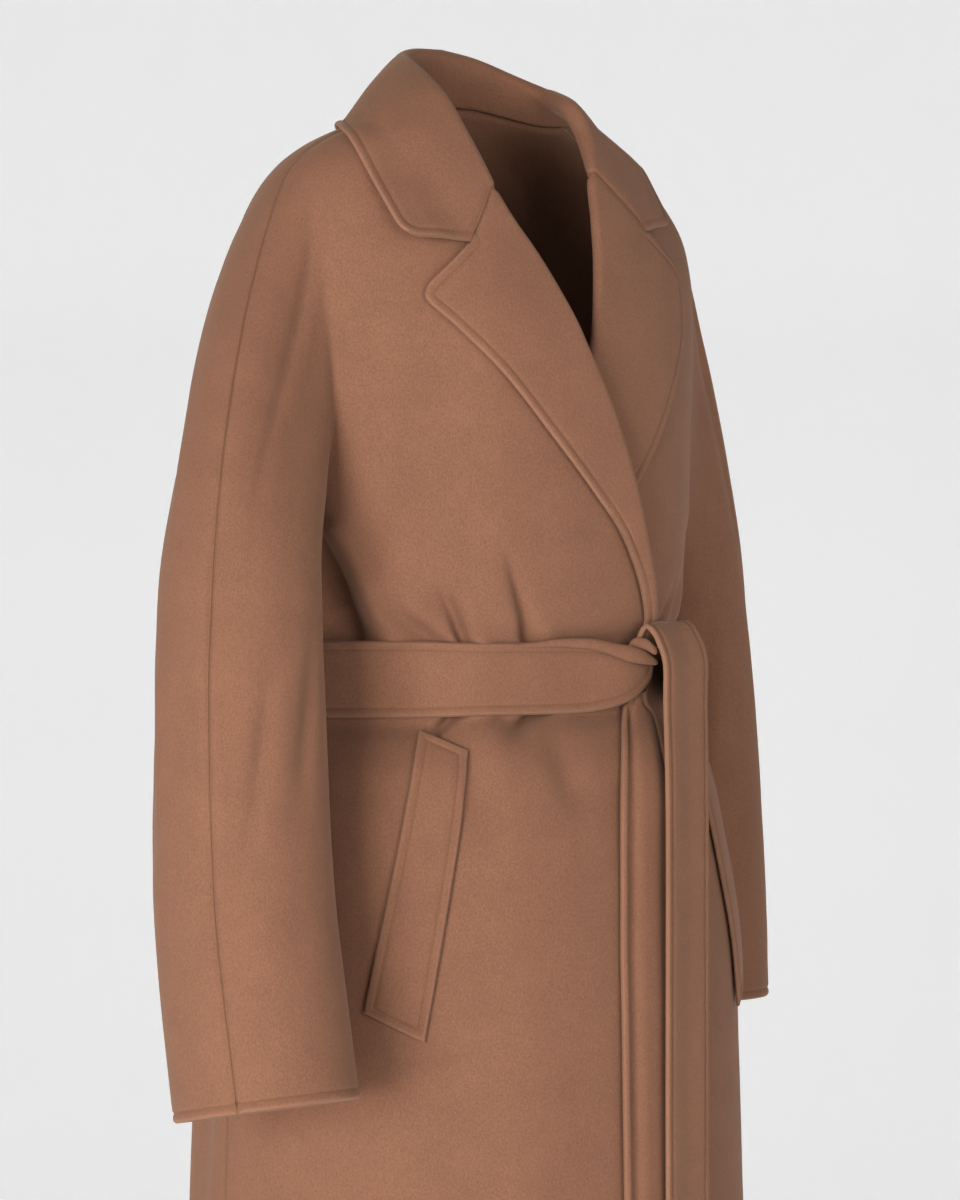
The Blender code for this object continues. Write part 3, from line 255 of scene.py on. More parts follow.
LEFT_SLEEVE = rows_of(
    SleeveRing, (-0.36, 0.25, 0.036, 0.053, 0.0535, 0), (-0.41, 0.257, 0.039, 0.055, 0.0555, 0),
    (-0.457, 0.2615, 0.041, 0.056, 0.057, 1), (-0.51, 0.2655, 0.0425, 0.057, 0.058, 2),
    (-0.565, 0.269, 0.043, 0.0575, 0.0585, 2), (-0.63, 0.2715, 0.043, 0.058, 0.059, 3),
    (-0.674, 0.273, 0.043, 0.058, 0.059, 3))
BAND = rows_of(
    BandPlace, (0, 18.5, 0.14, 0.01, 0.007), (1, 16.5, 0.36, 0.0055, 0.0085), (2, 11.5, 0.66, 0.002, 0.0085),
    (3, 5, 0.87, 0.001, 0.006), (4, -10, 1, 0, 0), (5, -90, 1, 0, 0), (6, -180, 1, 0, 0), (7, -270, 1, 0, 0),
    (8, -312, 0.97, 0, 0), (9, -328, 0.62, 0.002, 0))
END_FRONT = rows_of(
    EndPlace, (0, -0.3925, 0.0418, -0.1368, 0.048, 12.9, 0), (1, -0.386, 0.0418, -0.1368, 0.05, 12.9, 0),
    (2, -0.3785, 0.0428, -0.1394, 0.053, 12.9, 0.002), (3, -0.3745, 0.0436, -0.1433, 0.054, 12.9, 0.003),
    (4, -0.378, 0.0455, -0.1497, 0.055, 12.9, 0.003), (5, -0.388, 0.0472, -0.1555, 0.056, 12.9, 0.003),
    (6, -0.402, 0.0488, -0.16, 0.057, 12.9, 0.002), (7, -0.43, 0.0459, -0.1635, 0.056, 12.9, 0),
    (8, -0.47, 0.0412, -0.17, 0.055, 12.9, 0), (9, -0.52, 0.0345, -0.178, 0.054, 12.9, 0),
    (11, -0.6, 0.0259, -0.187, 0.054, 12.9, 0), (13, -0.75, 0.0206, -0.1925, 0.054, 12.9, 0),
    (16, -1, 0.0192, -0.195, 0.054, 12.9, 0))
END_UNDER = rows_of(
    EndPlace, (0, -0.4265, 0.0393, -0.1332, 0.02, 2, 0.006), (1, -0.434, 0.0337, -0.134, 0.026, 2, 0.004),
    (2, -0.4422, 0.0286, -0.1375, 0.037, 2, 0.003), (3, -0.4636, 0.0142, -0.1525, 0.045, 2, 0.002),
    (4, -0.5, 0.0026, -0.1645, 0.053, 2, 0), (5, -0.549, -0.0033, -0.1708, 0.054, 2.5, 0),
    (7, -0.62, -0.0102, -0.1788, 0.054, 2.5, 0), (10, -0.78, -0.0118, -0.184, 0.054, 2.5, 0),
    (13, -0.96, -0.0099, -0.187, 0.054, 2.5, 0))
STRAND = rows_of(
    StrandPlace, (0, -0.065, -0.1276, -0.3896, 0.0007, 0.0006), (1, -0.047, -0.131, -0.3887, 0.0018, 0.0013),
    (2, -0.0261, -0.1355, -0.3876, 0.0029, 0.0018), (3, -0.006, -0.1401, -0.3883, 0.0037, 0.0023),
    (4, 0.0056, -0.1418, -0.3901, 0.004, 0.0026), (5, 0.0175, -0.1433, -0.3929, 0.0046, 0.0028),
    (6, 0.03, -0.1443, -0.3957, 0.0057, 0.0031), (7, 0.0405, -0.1443, -0.3979, 0.005, 0.003),
    (8, 0.0495, -0.144, -0.4003, 0.0034, 0.0024), (9, 0.0572, -0.144, -0.4029, 0.0017, 0.0016))
TONGUE = rows_of(
    StrandPlace, (0, 0.0311, -0.141, -0.3959, 0.0025, 0.0016), (1, 0.0353, -0.1406, -0.3907, 0.0036, 0.0021),
    (2, 0.04, -0.1417, -0.3886, 0.0044, 0.0024), (3, 0.0444, -0.1433, -0.389, 0.0041, 0.0024),
    (4, 0.049, -0.1456, -0.3918, 0.0032, 0.0021), (5, 0.0526, -0.1479, -0.3961, 0.0021, 0.0016))
FRONT_PROFILE = ((0.0, 0.0), (0.20, 0.0008), (0.55, -0.0006), (0.85, 0.0006), (1.0, 0.0))
UNDER_PROFILE = ((0.0, 0.0), (0.09, 0.0022), (0.19, -0.0028), (0.34, 0.0030), (0.60, 0.0034), (0.85, 0.0008),
                 (1.0, 0.0))
SLEEVE_FOLDS = {
    Side.RIGHT: rows_of(
        Fold, (150, -20, 9, 0.003, 0.75, 1.6), (110, 26, 8, -0.0035, 1.05, 1.55), (75, 30, 9, -0.004, 1, 1.5),
        (215, -18, 10, -0.004, 0.9, 1.6), (280, 24, 10, -0.0045, 0.95, 1.55),
        (330, -10, 9, -0.004, 0.7, 1.45)),
    Side.LEFT: rows_of(
        Fold, (140, 18, 9, -0.0035, 0.85, 1.6), (60, -26, 9, -0.004, 1, 1.55), (205, 16, 10, 0.003, 0.8, 1.7),
        (270, -22, 10, -0.0045, 0.95, 1.6), (320, 12, 9, -0.004, 0.8, 1.5)),
}

# Distances in from a free edge or a seam at which every grid has a line of points, so that the stitched
# line near an edge and the valley of a seam have points of their own.
EDGE_STEPS = (0.0024, 0.0042, 0.0054, 0.0064, 0.0074, 0.0090, 0.0120)
SEAM_STEPS = (0.0012, 0.0028, 0.0050, 0.0090)
BELT_STEPS = (0.0022, 0.0036, 0.0047, 0.0056, 0.0065, 0.0080, 0.0105)
CREASE_STEPS = (0.003,)       # the same beside the lapel's roll and the notch's line
CLOSE_ROWS, CLOSE_COLUMNS = 120, 60     # of a welt's grid before it is respaced
BELT_ROWS, BELT_COLUMNS = 420, 61       # and of the belt's
SAME_PLACE = 0.00002          # points nearer than this are welded
SAME_ROW = 1e-6               # rows nearer than this are one
BLANK = 9.0                   # metres: stands for a grid's blank points, far from every real one

Reader = Callable[[np.ndarray | float], np.ndarray]


def curve(t: np.ndarray | float, start: np.ndarray, leave: np.ndarray, stop: np.ndarray,
          arrive: np.ndarray) -> np.ndarray:
    """A smooth curve from start (t 0) to stop (t 1) that leaves and arrives at given speeds."""
    return ((1 + 2 * t) * (1 - t) ** 2 * start + t * (1 - t) ** 2 * leave
            + t * t * (3 - 2 * t) * stop + t * t * (t - 1) * arrive)


def reader(knots: Sequence[float], values: Sequence[float]) -> Reader:
    """A smooth function through values that never swings past them.

    Args:
        knots: Where the values stand, rising.
        values: One value for each knot.

    Returns:
        The function, which holds its end values outside the knots.
    """
    at_knots, at_values = np.array(knots, float), np.array(values, float)
    steps = np.diff(at_values) / np.diff(at_knots)
    slopes = np.concatenate([steps[:1], np.zeros(len(steps) - 1), steps[-1:]])
    for i in range(1, len(steps)):
        before, after = steps[i - 1], steps[i]
        if before * after > 0:
            slopes[i] = 2 * before * after / (before + after)

    def read(at: np.ndarray | float) -> np.ndarray:
        """The value at one or several places.

        Args:
            at: Places on the knots' scale.

        Returns:
            The values, in the places' shape.
        """
        at = np.clip(np.asarray(at, float), at_knots[0], at_knots[-1])
        i = np.clip(np.searchsorted(at_knots, at, side="right") - 1, 0, len(at_knots) - 2)
        span = at_knots[i + 1] - at_knots[i]
        return curve((at - at_knots[i]) / span, at_values[i], span * slopes[i], at_values[i + 1],
                     span * slopes[i + 1])

    return read


def readers(table: Sequence[tuple]) -> list[Reader]:
    """Every column of a table after its first, as smooth functions of the first.

    Args:
        table: Rows that rise in their first column.

    Returns:
        One function for each further column.
    """
    return [reader([row[0] for row in table], [row[k] for row in table]) for k in range(1, len(table[0]))]


def ease(value: np.ndarray | float) -> np.ndarray:
    """0 up to 0, 1 from 1 on, and smooth between."""
    t = np.clip(value, 0.0, 1.0)
    return t * t * (3 - 2 * t)


def unit(vectors: np.ndarray) -> np.ndarray:
    """The vectors, each of length 1."""
    return vectors / np.maximum(np.linalg.norm(vectors, axis=-1, keepdims=True), 1e-12)


def power(value: np.ndarray | float, squareness: float) -> np.ndarray:
    """Turns a sine or cosine into that of an outline squarer than an ellipse."""
    return np.sign(value) * np.abs(value) ** (2 / squareness)


def lengths(line: np.ndarray) -> np.ndarray:
    """How far along a line of points each one lies."""
    return np.concatenate([[0], np.cumsum(np.linalg.norm(np.diff(line, axis=0), axis=1))])


def respace(line: np.ndarray, count: int, start: Sequence[float] = (),
            stop: Sequence[float] = ()) -> np.ndarray:
    """Lays a line of points out anew, evenly but for set distances near its ends.

    Args:
        line: Close points along a line, (n, 3).
        count: How many points to return.
        start: Distances from the first point that get a point.
        stop: The same from the last one.

    Returns:
        The points, (count, 3).
    """
    along = lengths(line)
    length = along[-1]
    taken = (start[-1] if start else 0) + (stop[-1] if stop else 0)
    scale = min(1.0, 0.75 * length / taken) if taken else 1.0     # a short line has closer steps
    first = np.array([0.0, *start]) * scale
    last = length - np.array([0.0, *stop])[::-1] * scale
    between = np.linspace(first[-1], last[0], count - len(first) - len(last) + 2)[1:-1]
    at = np.concatenate([first, between, last])
    return np.stack([np.interp(at, along, line[:, k]) for k in range(3)], axis=1)


def respace_rows(grid: np.ndarray, count: int, start: Sequence[float],
                 stop: Sequence[float]) -> np.ndarray:
    """Respaces each row of a grid."""
    return np.array([respace(row, count, start, stop) for row in grid])


def respace_grid(close: np.ndarray, rows: int, columns: int, steps: Sequence[float]) -> np.ndarray:
    """Respaces a close grid both ways, with set distances near all four edges."""
    across = respace_rows(close, columns, steps, steps)
    return respace_rows(across.transpose(1, 0, 2), rows, steps, steps).transpose(1, 0, 2)


def reach(points: np.ndarray, lines: Sequence[np.ndarray]) -> np.ndarray:
    """How far points lie from the nearest of some lines.

    Args:
        points: (..., 3).
        lines: Each a line of points, (n, 3).

    Returns:
        Distances, 1 m where there are no lines.
    """
    flat = points.reshape(-1, 3)
    least = np.ones(len(flat))
    for line in lines:
        for a, b in zip(line[:-1], line[1:]):
            span = b - a
            share = np.clip((flat - a) @ span / max(float(span @ span), 1e-12), 0, 1)
            least = np.fmin(least, np.linalg.norm(flat - a - share[:, None] * span, axis=1))
    return least.reshape(points.shape[:-1])


def rounded(grid: np.ndarray, corner: tuple[int, int], along: tuple[int, int], radius: float) -> np.ndarray:
    """Rounds a square corner of a grid.

    Args:
        grid: Points, (rows, columns, 3), nan where blank.
        corner: The corner's row and column.
        along: A row past the corner on its own column, and a column past it on its own row.
        radius: Of the rounding.

    Returns:
        The grid with the points near the corner drawn in.
    """
    at = grid[corner]
    sides = np.stack([unit(grid[along[0], corner[1]] - at), unit(grid[corner[0], along[1]] - at)], axis=1)
    from_corner = (np.nan_to_num(grid, nan=BLANK) - at).reshape(-1, 3)
    into = np.linalg.lstsq(sides, from_corner.T, rcond=None)[0].T
    near = np.all(into < radius, axis=1) & np.all(into > -radius, axis=1)
    near &= np.linalg.norm(from_corner, axis=1) < 3 * radius
    left = radius - np.maximum(into[near], 0.0)
    drawn = left * (np.max(left, axis=1) / np.maximum(np.linalg.norm(left, axis=1), 1e-9))[:, None]
    flat = grid.reshape(-1, 3).copy()
    flat[near] += (left - drawn) @ sides.T
    return flat.reshape(grid.shape)


def folded(folds: Sequence[Fold], turn: np.ndarray, place: np.ndarray | float) -> np.ndarray:
    """How far folds move the cloth outwards.

    Args:
        folds: The folds of the body or of a sleeve.
        turn: Degrees round it.
        place: Heights or places on the folds' own scale.

    Returns:
        Metres outwards.
    """
    total = 0.0 * turn * place
    for fold in folds:
        along = np.clip((place - fold.start) / (fold.stop - fold.start), 0, 1)
        away = (turn - fold.turn - fold.lean * (along - 0.5) + 180) % 360 - 180
        total = total + fold.depth * np.sin(np.pi * along) ** 2 * np.exp(-((away / fold.half_width) ** 2))
    return total


@dataclass
class CoatForm:
    """The coat's body as a surface of turn and height, with its folds."""

    folds: tuple[Fold, ...] = FOLDS + CREASES
    squareness: float = 2.2
    normal_turn: float = 1.5            # degrees and metres that a normal is taken over, to pass small kinks
    normal_rise: float = 0.004
    wrap_lift_chest: float = 0.0105     # the right front, over the left front and its lapel
    wrap_lift_skirt: float = 0.0062     # below the belt, where there is no lapel between
    wrap_lift_top: float = 0.0040       # above the crossing of the roll lines
    wrap_starts: float = -0.128         # x where the right front starts to rise
    wrap_full: float = -0.070           # and where it has risen
    chest_starts: float = -0.50         # heights at which the lift changes, and over how much
    chest_blend: float = 0.06
    top_starts: float = -0.185
    top_blend: float = 0.085
    wrap_ends: float = 25               # degrees before the side seam over which the lift ends

    def __post_init__(self) -> None:
        """Reads the sections' columns."""
        self.half_width, self.front_depth, self.back_depth, self.centre_y = readers(SECTIONS)

    def bare(self, turn: np.ndarray, height: np.ndarray) -> np.ndarray:
        """The outline's point at a turn and a height, before its folds.

        Args:
            turn: Degrees from the centre front, to the wearer's left.
            height: Metres.

        Returns:
            Points, (..., 3).
        """
        angle = np.radians(turn)
        cosine = np.cos(angle)
        depth = np.where(cosine > 0, self.front_depth(height), self.back_depth(height))
        return np.stack([self.half_width(height) * power(np.sin(angle), self.squareness),
                         self.centre_y(height) - depth * power(cosine, self.squareness),
                         height + 0.0 * angle], axis=-1)

    def outward(self, turn: np.ndarray, height: np.ndarray) -> np.ndarray:
        """The outline's outward normal.

        Args:
            turn: As in bare.
            height: As in bare.

        Returns:
            Vectors of length 1, (..., 3).
        """
        around = self.bare(turn + self.normal_turn, height) - self.bare(turn - self.normal_turn, height)
        upward = self.bare(turn, height + self.normal_rise) - self.bare(turn, height - self.normal_rise)
        return unit(np.cross(around, upward))

    def point(self, turn: np.ndarray, height: np.ndarray, lift: np.ndarray | float = 0.0) -> np.ndarray:
        """The body's point at a turn and a height, moved out by lift.

        Args:
            turn: As in bare.
            height: As in bare.
            lift: Metres outwards.

        Returns:
            Points, (..., 3).
        """
        turn, height = np.broadcast_arrays(np.asarray(turn, float), np.asarray(height, float))
        out = folded(self.folds, turn, height) + lift
        return self.bare(turn, height) + self.outward(turn, height) * out[..., None]

    def turn_at(self, x: np.ndarray, height: np.ndarray) -> np.ndarray:
        """The turn, on the front, at which the outline passes x."""
        share = np.clip(np.abs(x) / self.half_width(height), 0, 1)
        return np.sign(x) * np.degrees(np.arcsin(share ** (self.squareness / 2)))

    def wrap_lift(self, side: Side, turn: np.ndarray, height: np.ndarray) -> np.ndarray:
        """How far a front lies above the outline: the right one rises over the left one.

        Args:
            side: The front's side.
            turn: As in bare.
            height: As in bare.

        Returns:
            Metres.
        """
        x = self.half_width(height) * power(np.sin(np.radians(turn)), self.squareness)
        if side == Side.LEFT:
            return 0.0 * x
        risen = ease((x - self.wrap_starts) / (self.wrap_full - self.wrap_starts))
        chest = ease((height - self.chest_starts) / self.chest_blend)
        top = ease((height - self.top_starts) / self.top_blend)
        full = self.wrap_lift_skirt + (self.wrap_lift_chest - self.wrap_lift_skirt) * chest
        full = full + (self.wrap_lift_top - self.wrap_lift_chest) * top
        return risen * full * ease((90 - np.abs(turn)) / self.wrap_ends)

    def on_front(self, side: Side, turn: np.ndarray, height: np.ndarray,
                 lift: np.ndarray | float = 0.0) -> np.ndarray:
        """A front's point at a turn and a height, moved out by lift."""
        return self.point(turn, height, self.wrap_lift(side, turn, height) + lift)


@dataclass
class Sheet:
    """A cut piece, or a part of one, as a grid of its outer face."""

    name: str
    points: np.ndarray            # (rows, columns, 3), nan where blank
    edge: np.ndarray              # metres to the nearest free edge
    seam: np.ndarray              # metres to the nearest seam
    flip: bool                    # the grid runs the other way round


def plain_sheet(name: str, points: np.ndarray, edges: Sequence[np.ndarray], flip: bool) -> Sheet:
    """A cut piece with free edges and no seam."""
    edge = reach(points, edges)
    return Sheet(name, points, edge, np.ones(edge.shape), flip)


def fine_rows(stretches: Sequence[tuple[float, float, int]], more: Sequence[float]) -> np.ndarray:
    """Row places, from the hem (0) to the shoulder (1).

    Args:
        stretches: Each as its first row, its last row and how many steps it has.
        more: Further rows, near the hem and the seams.

    Returns:
        The rows, rising.
    """
    rows = [np.linspace(low, high, steps + 1) for low, high, steps in stretches]
    return np.unique(np.round(np.concatenate([*rows, np.array(more)]), 7))


METRES_PER_ROW = 1.818        # how much of the skirt one whole row stands for
# The stretches of rows up to the underarm: first row, last row and steps of each.
LOW_STRETCHES = ((0.0, 0.345, 66), (0.345, 0.385, 16), (0.385, 0.430, 20), (0.430, 0.470, 12),
                 (0.470, UNDERARM_ROW, 15))
SEAM_ROWS = (*(step / METRES_PER_ROW for step in EDGE_STEPS),
             *(UNDERARM_ROW + step for step in (0.0015, 0.0034, 0.006, 0.011)),
             *(1 - step for step in (0.0019, 0.0044, 0.008, 0.0145)), 1.0)
FRONT_ROWS = fine_rows((*LOW_STRETCHES, (0.565, 0.860, 39), (0.860, GORGE_ROW, 26),
                        (GORGE_ROW, 0.980, 11)), SEAM_ROWS)
BACK_ROWS = fine_rows((*LOW_STRETCHES, (0.565, 0.980, 53)), SEAM_ROWS)


@dataclass
class Front:
    """A front with its lapel cut in one with it."""

    side: Side
    form: CoatForm
    close_columns: int = 181      # before the grid is respaced
    columns: int = 104
    arc_columns: int = 10
    lapel_near: int = 13          # columns from the roll to the notch's share
    lapel_far: int = 18           # and on to the edge
    samples: int = 48             # of the lapel's line before it is respaced
    notch_share: float = 0.50     # of the way from the roll to the lapel's point
    notch_settles: float = 0.80   # the row from which the lapel's line bends to the notch
    pressed: float = 0.45         # share of the roll's room at its foot, where the belt presses it flat
    pressed_rows: float = 0.100   # and the rows over which it opens
    corner_radius: float = 0.009
    corner_rows: int = 7          # the corner's sides are read this far from it
    corner_columns: int = 8
    onward_turn: float = 0.5      # degrees

    def __post_init__(self) -> None:
        """Reads the tables of this side."""
        right = self.side == Side.RIGHT
        self.inner_height, self.inner_x = readers(RIGHT_INNER if right else LEFT_INNER)
        self.edge_height, self.edge_x = readers(RIGHT_LAPEL if right else LEFT_LAPEL)
        self.outer_height, self.outer_turn = readers(FRONT_OUTER)
        self.notch = (-0.115, -0.086) if right else (-0.092, 0.088)
        self.roll_radius = 0.0032 if right else 0.0019
        self.edge_gap = 0.0030 if right else 0.0028

    def body(self) -> np.ndarray:
        """The grid from the side seam and armhole to the front edge, roll line and neckline.

        Returns:
            Points, (rows, columns, 3).
        """
        across = np.linspace(0, 1, self.close_columns)[None, :]
        start, stop = self.outer_height(FRONT_ROWS)[:, None], self.inner_height(FRONT_ROWS)[:, None]
        height = start + (stop - start) * across
        first = self.side * self.outer_turn(FRONT_ROWS)[:, None]
        last = self.form.turn_at(self.inner_x(FRONT_ROWS), self.inner_height(FRONT_ROWS))[:, None]
        close = self.form.on_front(self.side, first + (last - first) * across, height)
        return respace_rows(close, self.columns, SEAM_STEPS, EDGE_STEPS)

    def lapel_line(self, row: float) -> np.ndarray:
        """Heights and x across the lapel at a row, from the roll line by the notch's share to the edge.

        Args:
            row: Its place up the front.

        Returns:
            Pairs of height and x, (samples, 2).
        """
        across = np.linspace(0, 1, self.samples + 1)[1:]
        start = np.array([self.inner_height(row), self.inner_x(row)])
        stop = np.array([self.edge_height(row), self.edge_x(row)])
        straight = start + (stop - start) * across[:, None]
        to_notch = np.clip(across / self.notch_share, 0, 1)[:, None]
        past_notch = np.clip((across - self.notch_share) / (1 - self.notch_share), 0, 1)[:, None]
        notch = np.array(self.notch)
        kinked = start + (notch - start) * to_notch + (stop - notch) * past_notch
        bent = ease((row - self.notch_settles) / (GORGE_ROW - self.notch_settles))
        return straight + (kinked - straight) * bent

    def fold_frame(self, row: float) -> tuple[np.ndarray, np.ndarray, np.ndarray]:
        """Point, outward normal and onward direction at the roll line.

        Args:
            row: Its place up the front.

        Returns:
            The three, each of three numbers.
        """
        height = self.inner_height(row)
        turn = self.form.turn_at(self.inner_x(row), height)
        point = self.form.on_front(self.side, turn, height)
        normal = self.form.outward(turn, height)
        onward = self.form.on_front(self.side, turn - self.side * self.onward_turn, height) - point
        onward = onward - normal * np.dot(onward, normal)
        return point, normal, unit(onward)

    def lapel_row(self, row: float) -> tuple[np.ndarray, np.ndarray]:
        """One row of the lapel.

        Args:
            row: Its place up the front.

        Returns:
            The points round the roll, and close points from there to the edge.
        """
        point, normal, onward = self.fold_frame(row)
        room = self.pressed + (1 - self.pressed) * float(ease((row - FOLDED_ROW) / self.pressed_rows))
        radius = self.roll_radius * room
        line = self.lapel_line(row)
        across = np.linspace(0, 1, self.samples + 1)[1:]
        gap = 2 * radius + (self.edge_gap * room - 2 * radius) * across
        flat = self.form.on_front(self.side, self.form.turn_at(line[:, 1], line[:, 0]), line[:, 0], gap)
        return turned(point, normal, onward, radius, 180, self.arc_columns), flat

    def lapel_columns(self, arc_end: np.ndarray, flat: np.ndarray) -> np.ndarray:
        """Respaces a lapel's or a leaf's row on either side of the notch's share.

        Args:
            arc_end: The last point round the roll.
            flat: Close points from there to the edge.

        Returns:
            The row's points after arc_end.
        """
        middle = int(self.notch_share * self.samples)
        near = respace(np.vstack([arc_end, flat[:middle]]), self.lapel_near, CREASE_STEPS, CREASE_STEPS)
        far = respace(flat[middle - 1:], self.lapel_far, CREASE_STEPS, EDGE_STEPS)
        return np.vstack([near[1:], far[1:]])

    def sheets(self) -> list[Sheet]:
        """The front as one grid, with its distances from edges and seams.

        Returns:
            The one sheet.
        """
        body = self.body()
        width = self.arc_columns + self.lapel_near + self.lapel_far - 2
        lapel = np.full((len(FRONT_ROWS), width, 3), np.nan)
        lapel_rows = [i for i, row in enumerate(FRONT_ROWS)
                      if FOLDED_ROW - SAME_ROW <= row <= GORGE_ROW + SAME_ROW]
        for i in lapel_rows:
            arc, flat = self.lapel_row(float(FRONT_ROWS[i]))
            lapel[i] = np.vstack([arc, self.lapel_columns(arc[-1], flat)])
        low = FRONT_ROWS <= FOLDED_ROW + SAME_ROW
        side = FRONT_ROWS <= UNDERARM_ROW + SAME_ROW
        top, rim, notch = lapel_rows[-1], width - 1, self.arc_columns + self.lapel_near - 2
        lapel = rounded(lapel, (top, rim), (top - self.corner_rows, rim - self.corner_columns),
                        self.corner_radius)
        edge = np.concatenate([reach(body, [body[low, -1], body[0]]),
                               reach(lapel, [lapel[lapel_rows, -1], lapel[top, notch:]])], axis=1)
        neckline = body[FRONT_ROWS >= GORGE_ROW - SAME_ROW, -1]
        seam = np.concatenate([reach(body, [body[side, 0], body[-1], neckline]),
                               reach(lapel, [lapel[top, :notch + 1]])], axis=1)
        points = np.concatenate([body, lapel], axis=1)
        return [Sheet(f"front_{self.side.name.lower()}", points, edge, seam, self.side == Side.LEFT)]


def turned(point: np.ndarray, normal: np.ndarray, onward: np.ndarray, radius: float, degrees: float,
           count: int) -> np.ndarray:
    """The turned cloth at a fold: points past the fold line, round a centre above it.

    Args:
        point: On the fold line.
        normal: Away from the cloth that the fold stands on.
        onward: Across the fold line, in the cloth's plane.
        radius: Of the turn.
        degrees: How far round.
        count: How many points.

    Returns:
        The points, (count, 3).
    """
    angles = np.radians(np.linspace(0, degrees, count + 1)[1:])[:, None]
    return point + normal * radius * (1 - np.cos(angles)) + onward * radius * np.sin(angles)


@dataclass
class Back:
    """The back, cut across both shoulders."""

    form: CoatForm
    columns: int = 124
    samples: int = 50             # close points along the shoulder, and along half the nape
    inner_top: float = -0.0065    # the neckline's height at the shoulder seam
    nape_top: float = 0.0065      # and at the centre back
    nape_rises: float = 1.3

    def __post_init__(self) -> None:
        """Reads the outer edge."""
        self.outer_height, self.outer_turn = readers(BACK_OUTER)

    def nape_height(self, place: np.ndarray | float) -> np.ndarray:
        """The neckline's height from the shoulder seam (place 1) to the centre back (2)."""
        risen = ease((np.asarray(place) - 1) * self.nape_rises)
        return self.inner_top + (self.nape_top - self.inner_top) * risen

    def places(self) -> tuple[np.ndarray, np.ndarray]:
        """Turns and heights of close points, from the right side seam round to the left one.

        Returns:
            Both, (rows, close points).
        """
        shoulder_height = self.outer_height(1.0)
        along = np.linspace(0, 1, self.samples + 1)
        rise = (self.nape_height(1.0) - shoulder_height) * along
        shoulder = np.stack([90 + 0 * along, shoulder_height + rise], axis=1)
        nape = 1 + along[1:]
        half_top = np.vstack([shoulder, np.stack([90 * nape, self.nape_height(nape)], axis=1)])
        mirrored = np.stack([360 - half_top[::-1, 0], half_top[::-1, 1]], axis=1)[1:]
        top = np.vstack([half_top, mirrored])
        across = np.linspace(0, 1, len(top))[None, :]
        first = self.outer_turn(BACK_ROWS)[:, None]
        share = np.clip((BACK_ROWS - UNDERARM_ROW) / (1 - UNDERARM_ROW), 0, 1)[:, None] ** 2
        turn = first + (360 - 2 * first) * across + (top[:, 0] - (90 + 180 * across)) * share
        return -turn, self.outer_height(BACK_ROWS)[:, None] + (top[:, 1] - shoulder_height) * share

    def sheets(self) -> list[Sheet]:
        """The back as one grid, with its distances from edges and seams.

        Returns:
            The one sheet.
        """
        turn, height = self.places()
        points = respace_rows(self.form.point(turn, height), self.columns, SEAM_STEPS, SEAM_STEPS)
        side = BACK_ROWS <= UNDERARM_ROW + SAME_ROW
        seam = reach(points, [points[side, 0], points[side, -1], points[-1]])
        return [Sheet("back", points, reach(points, [points[0]]), seam, True)]


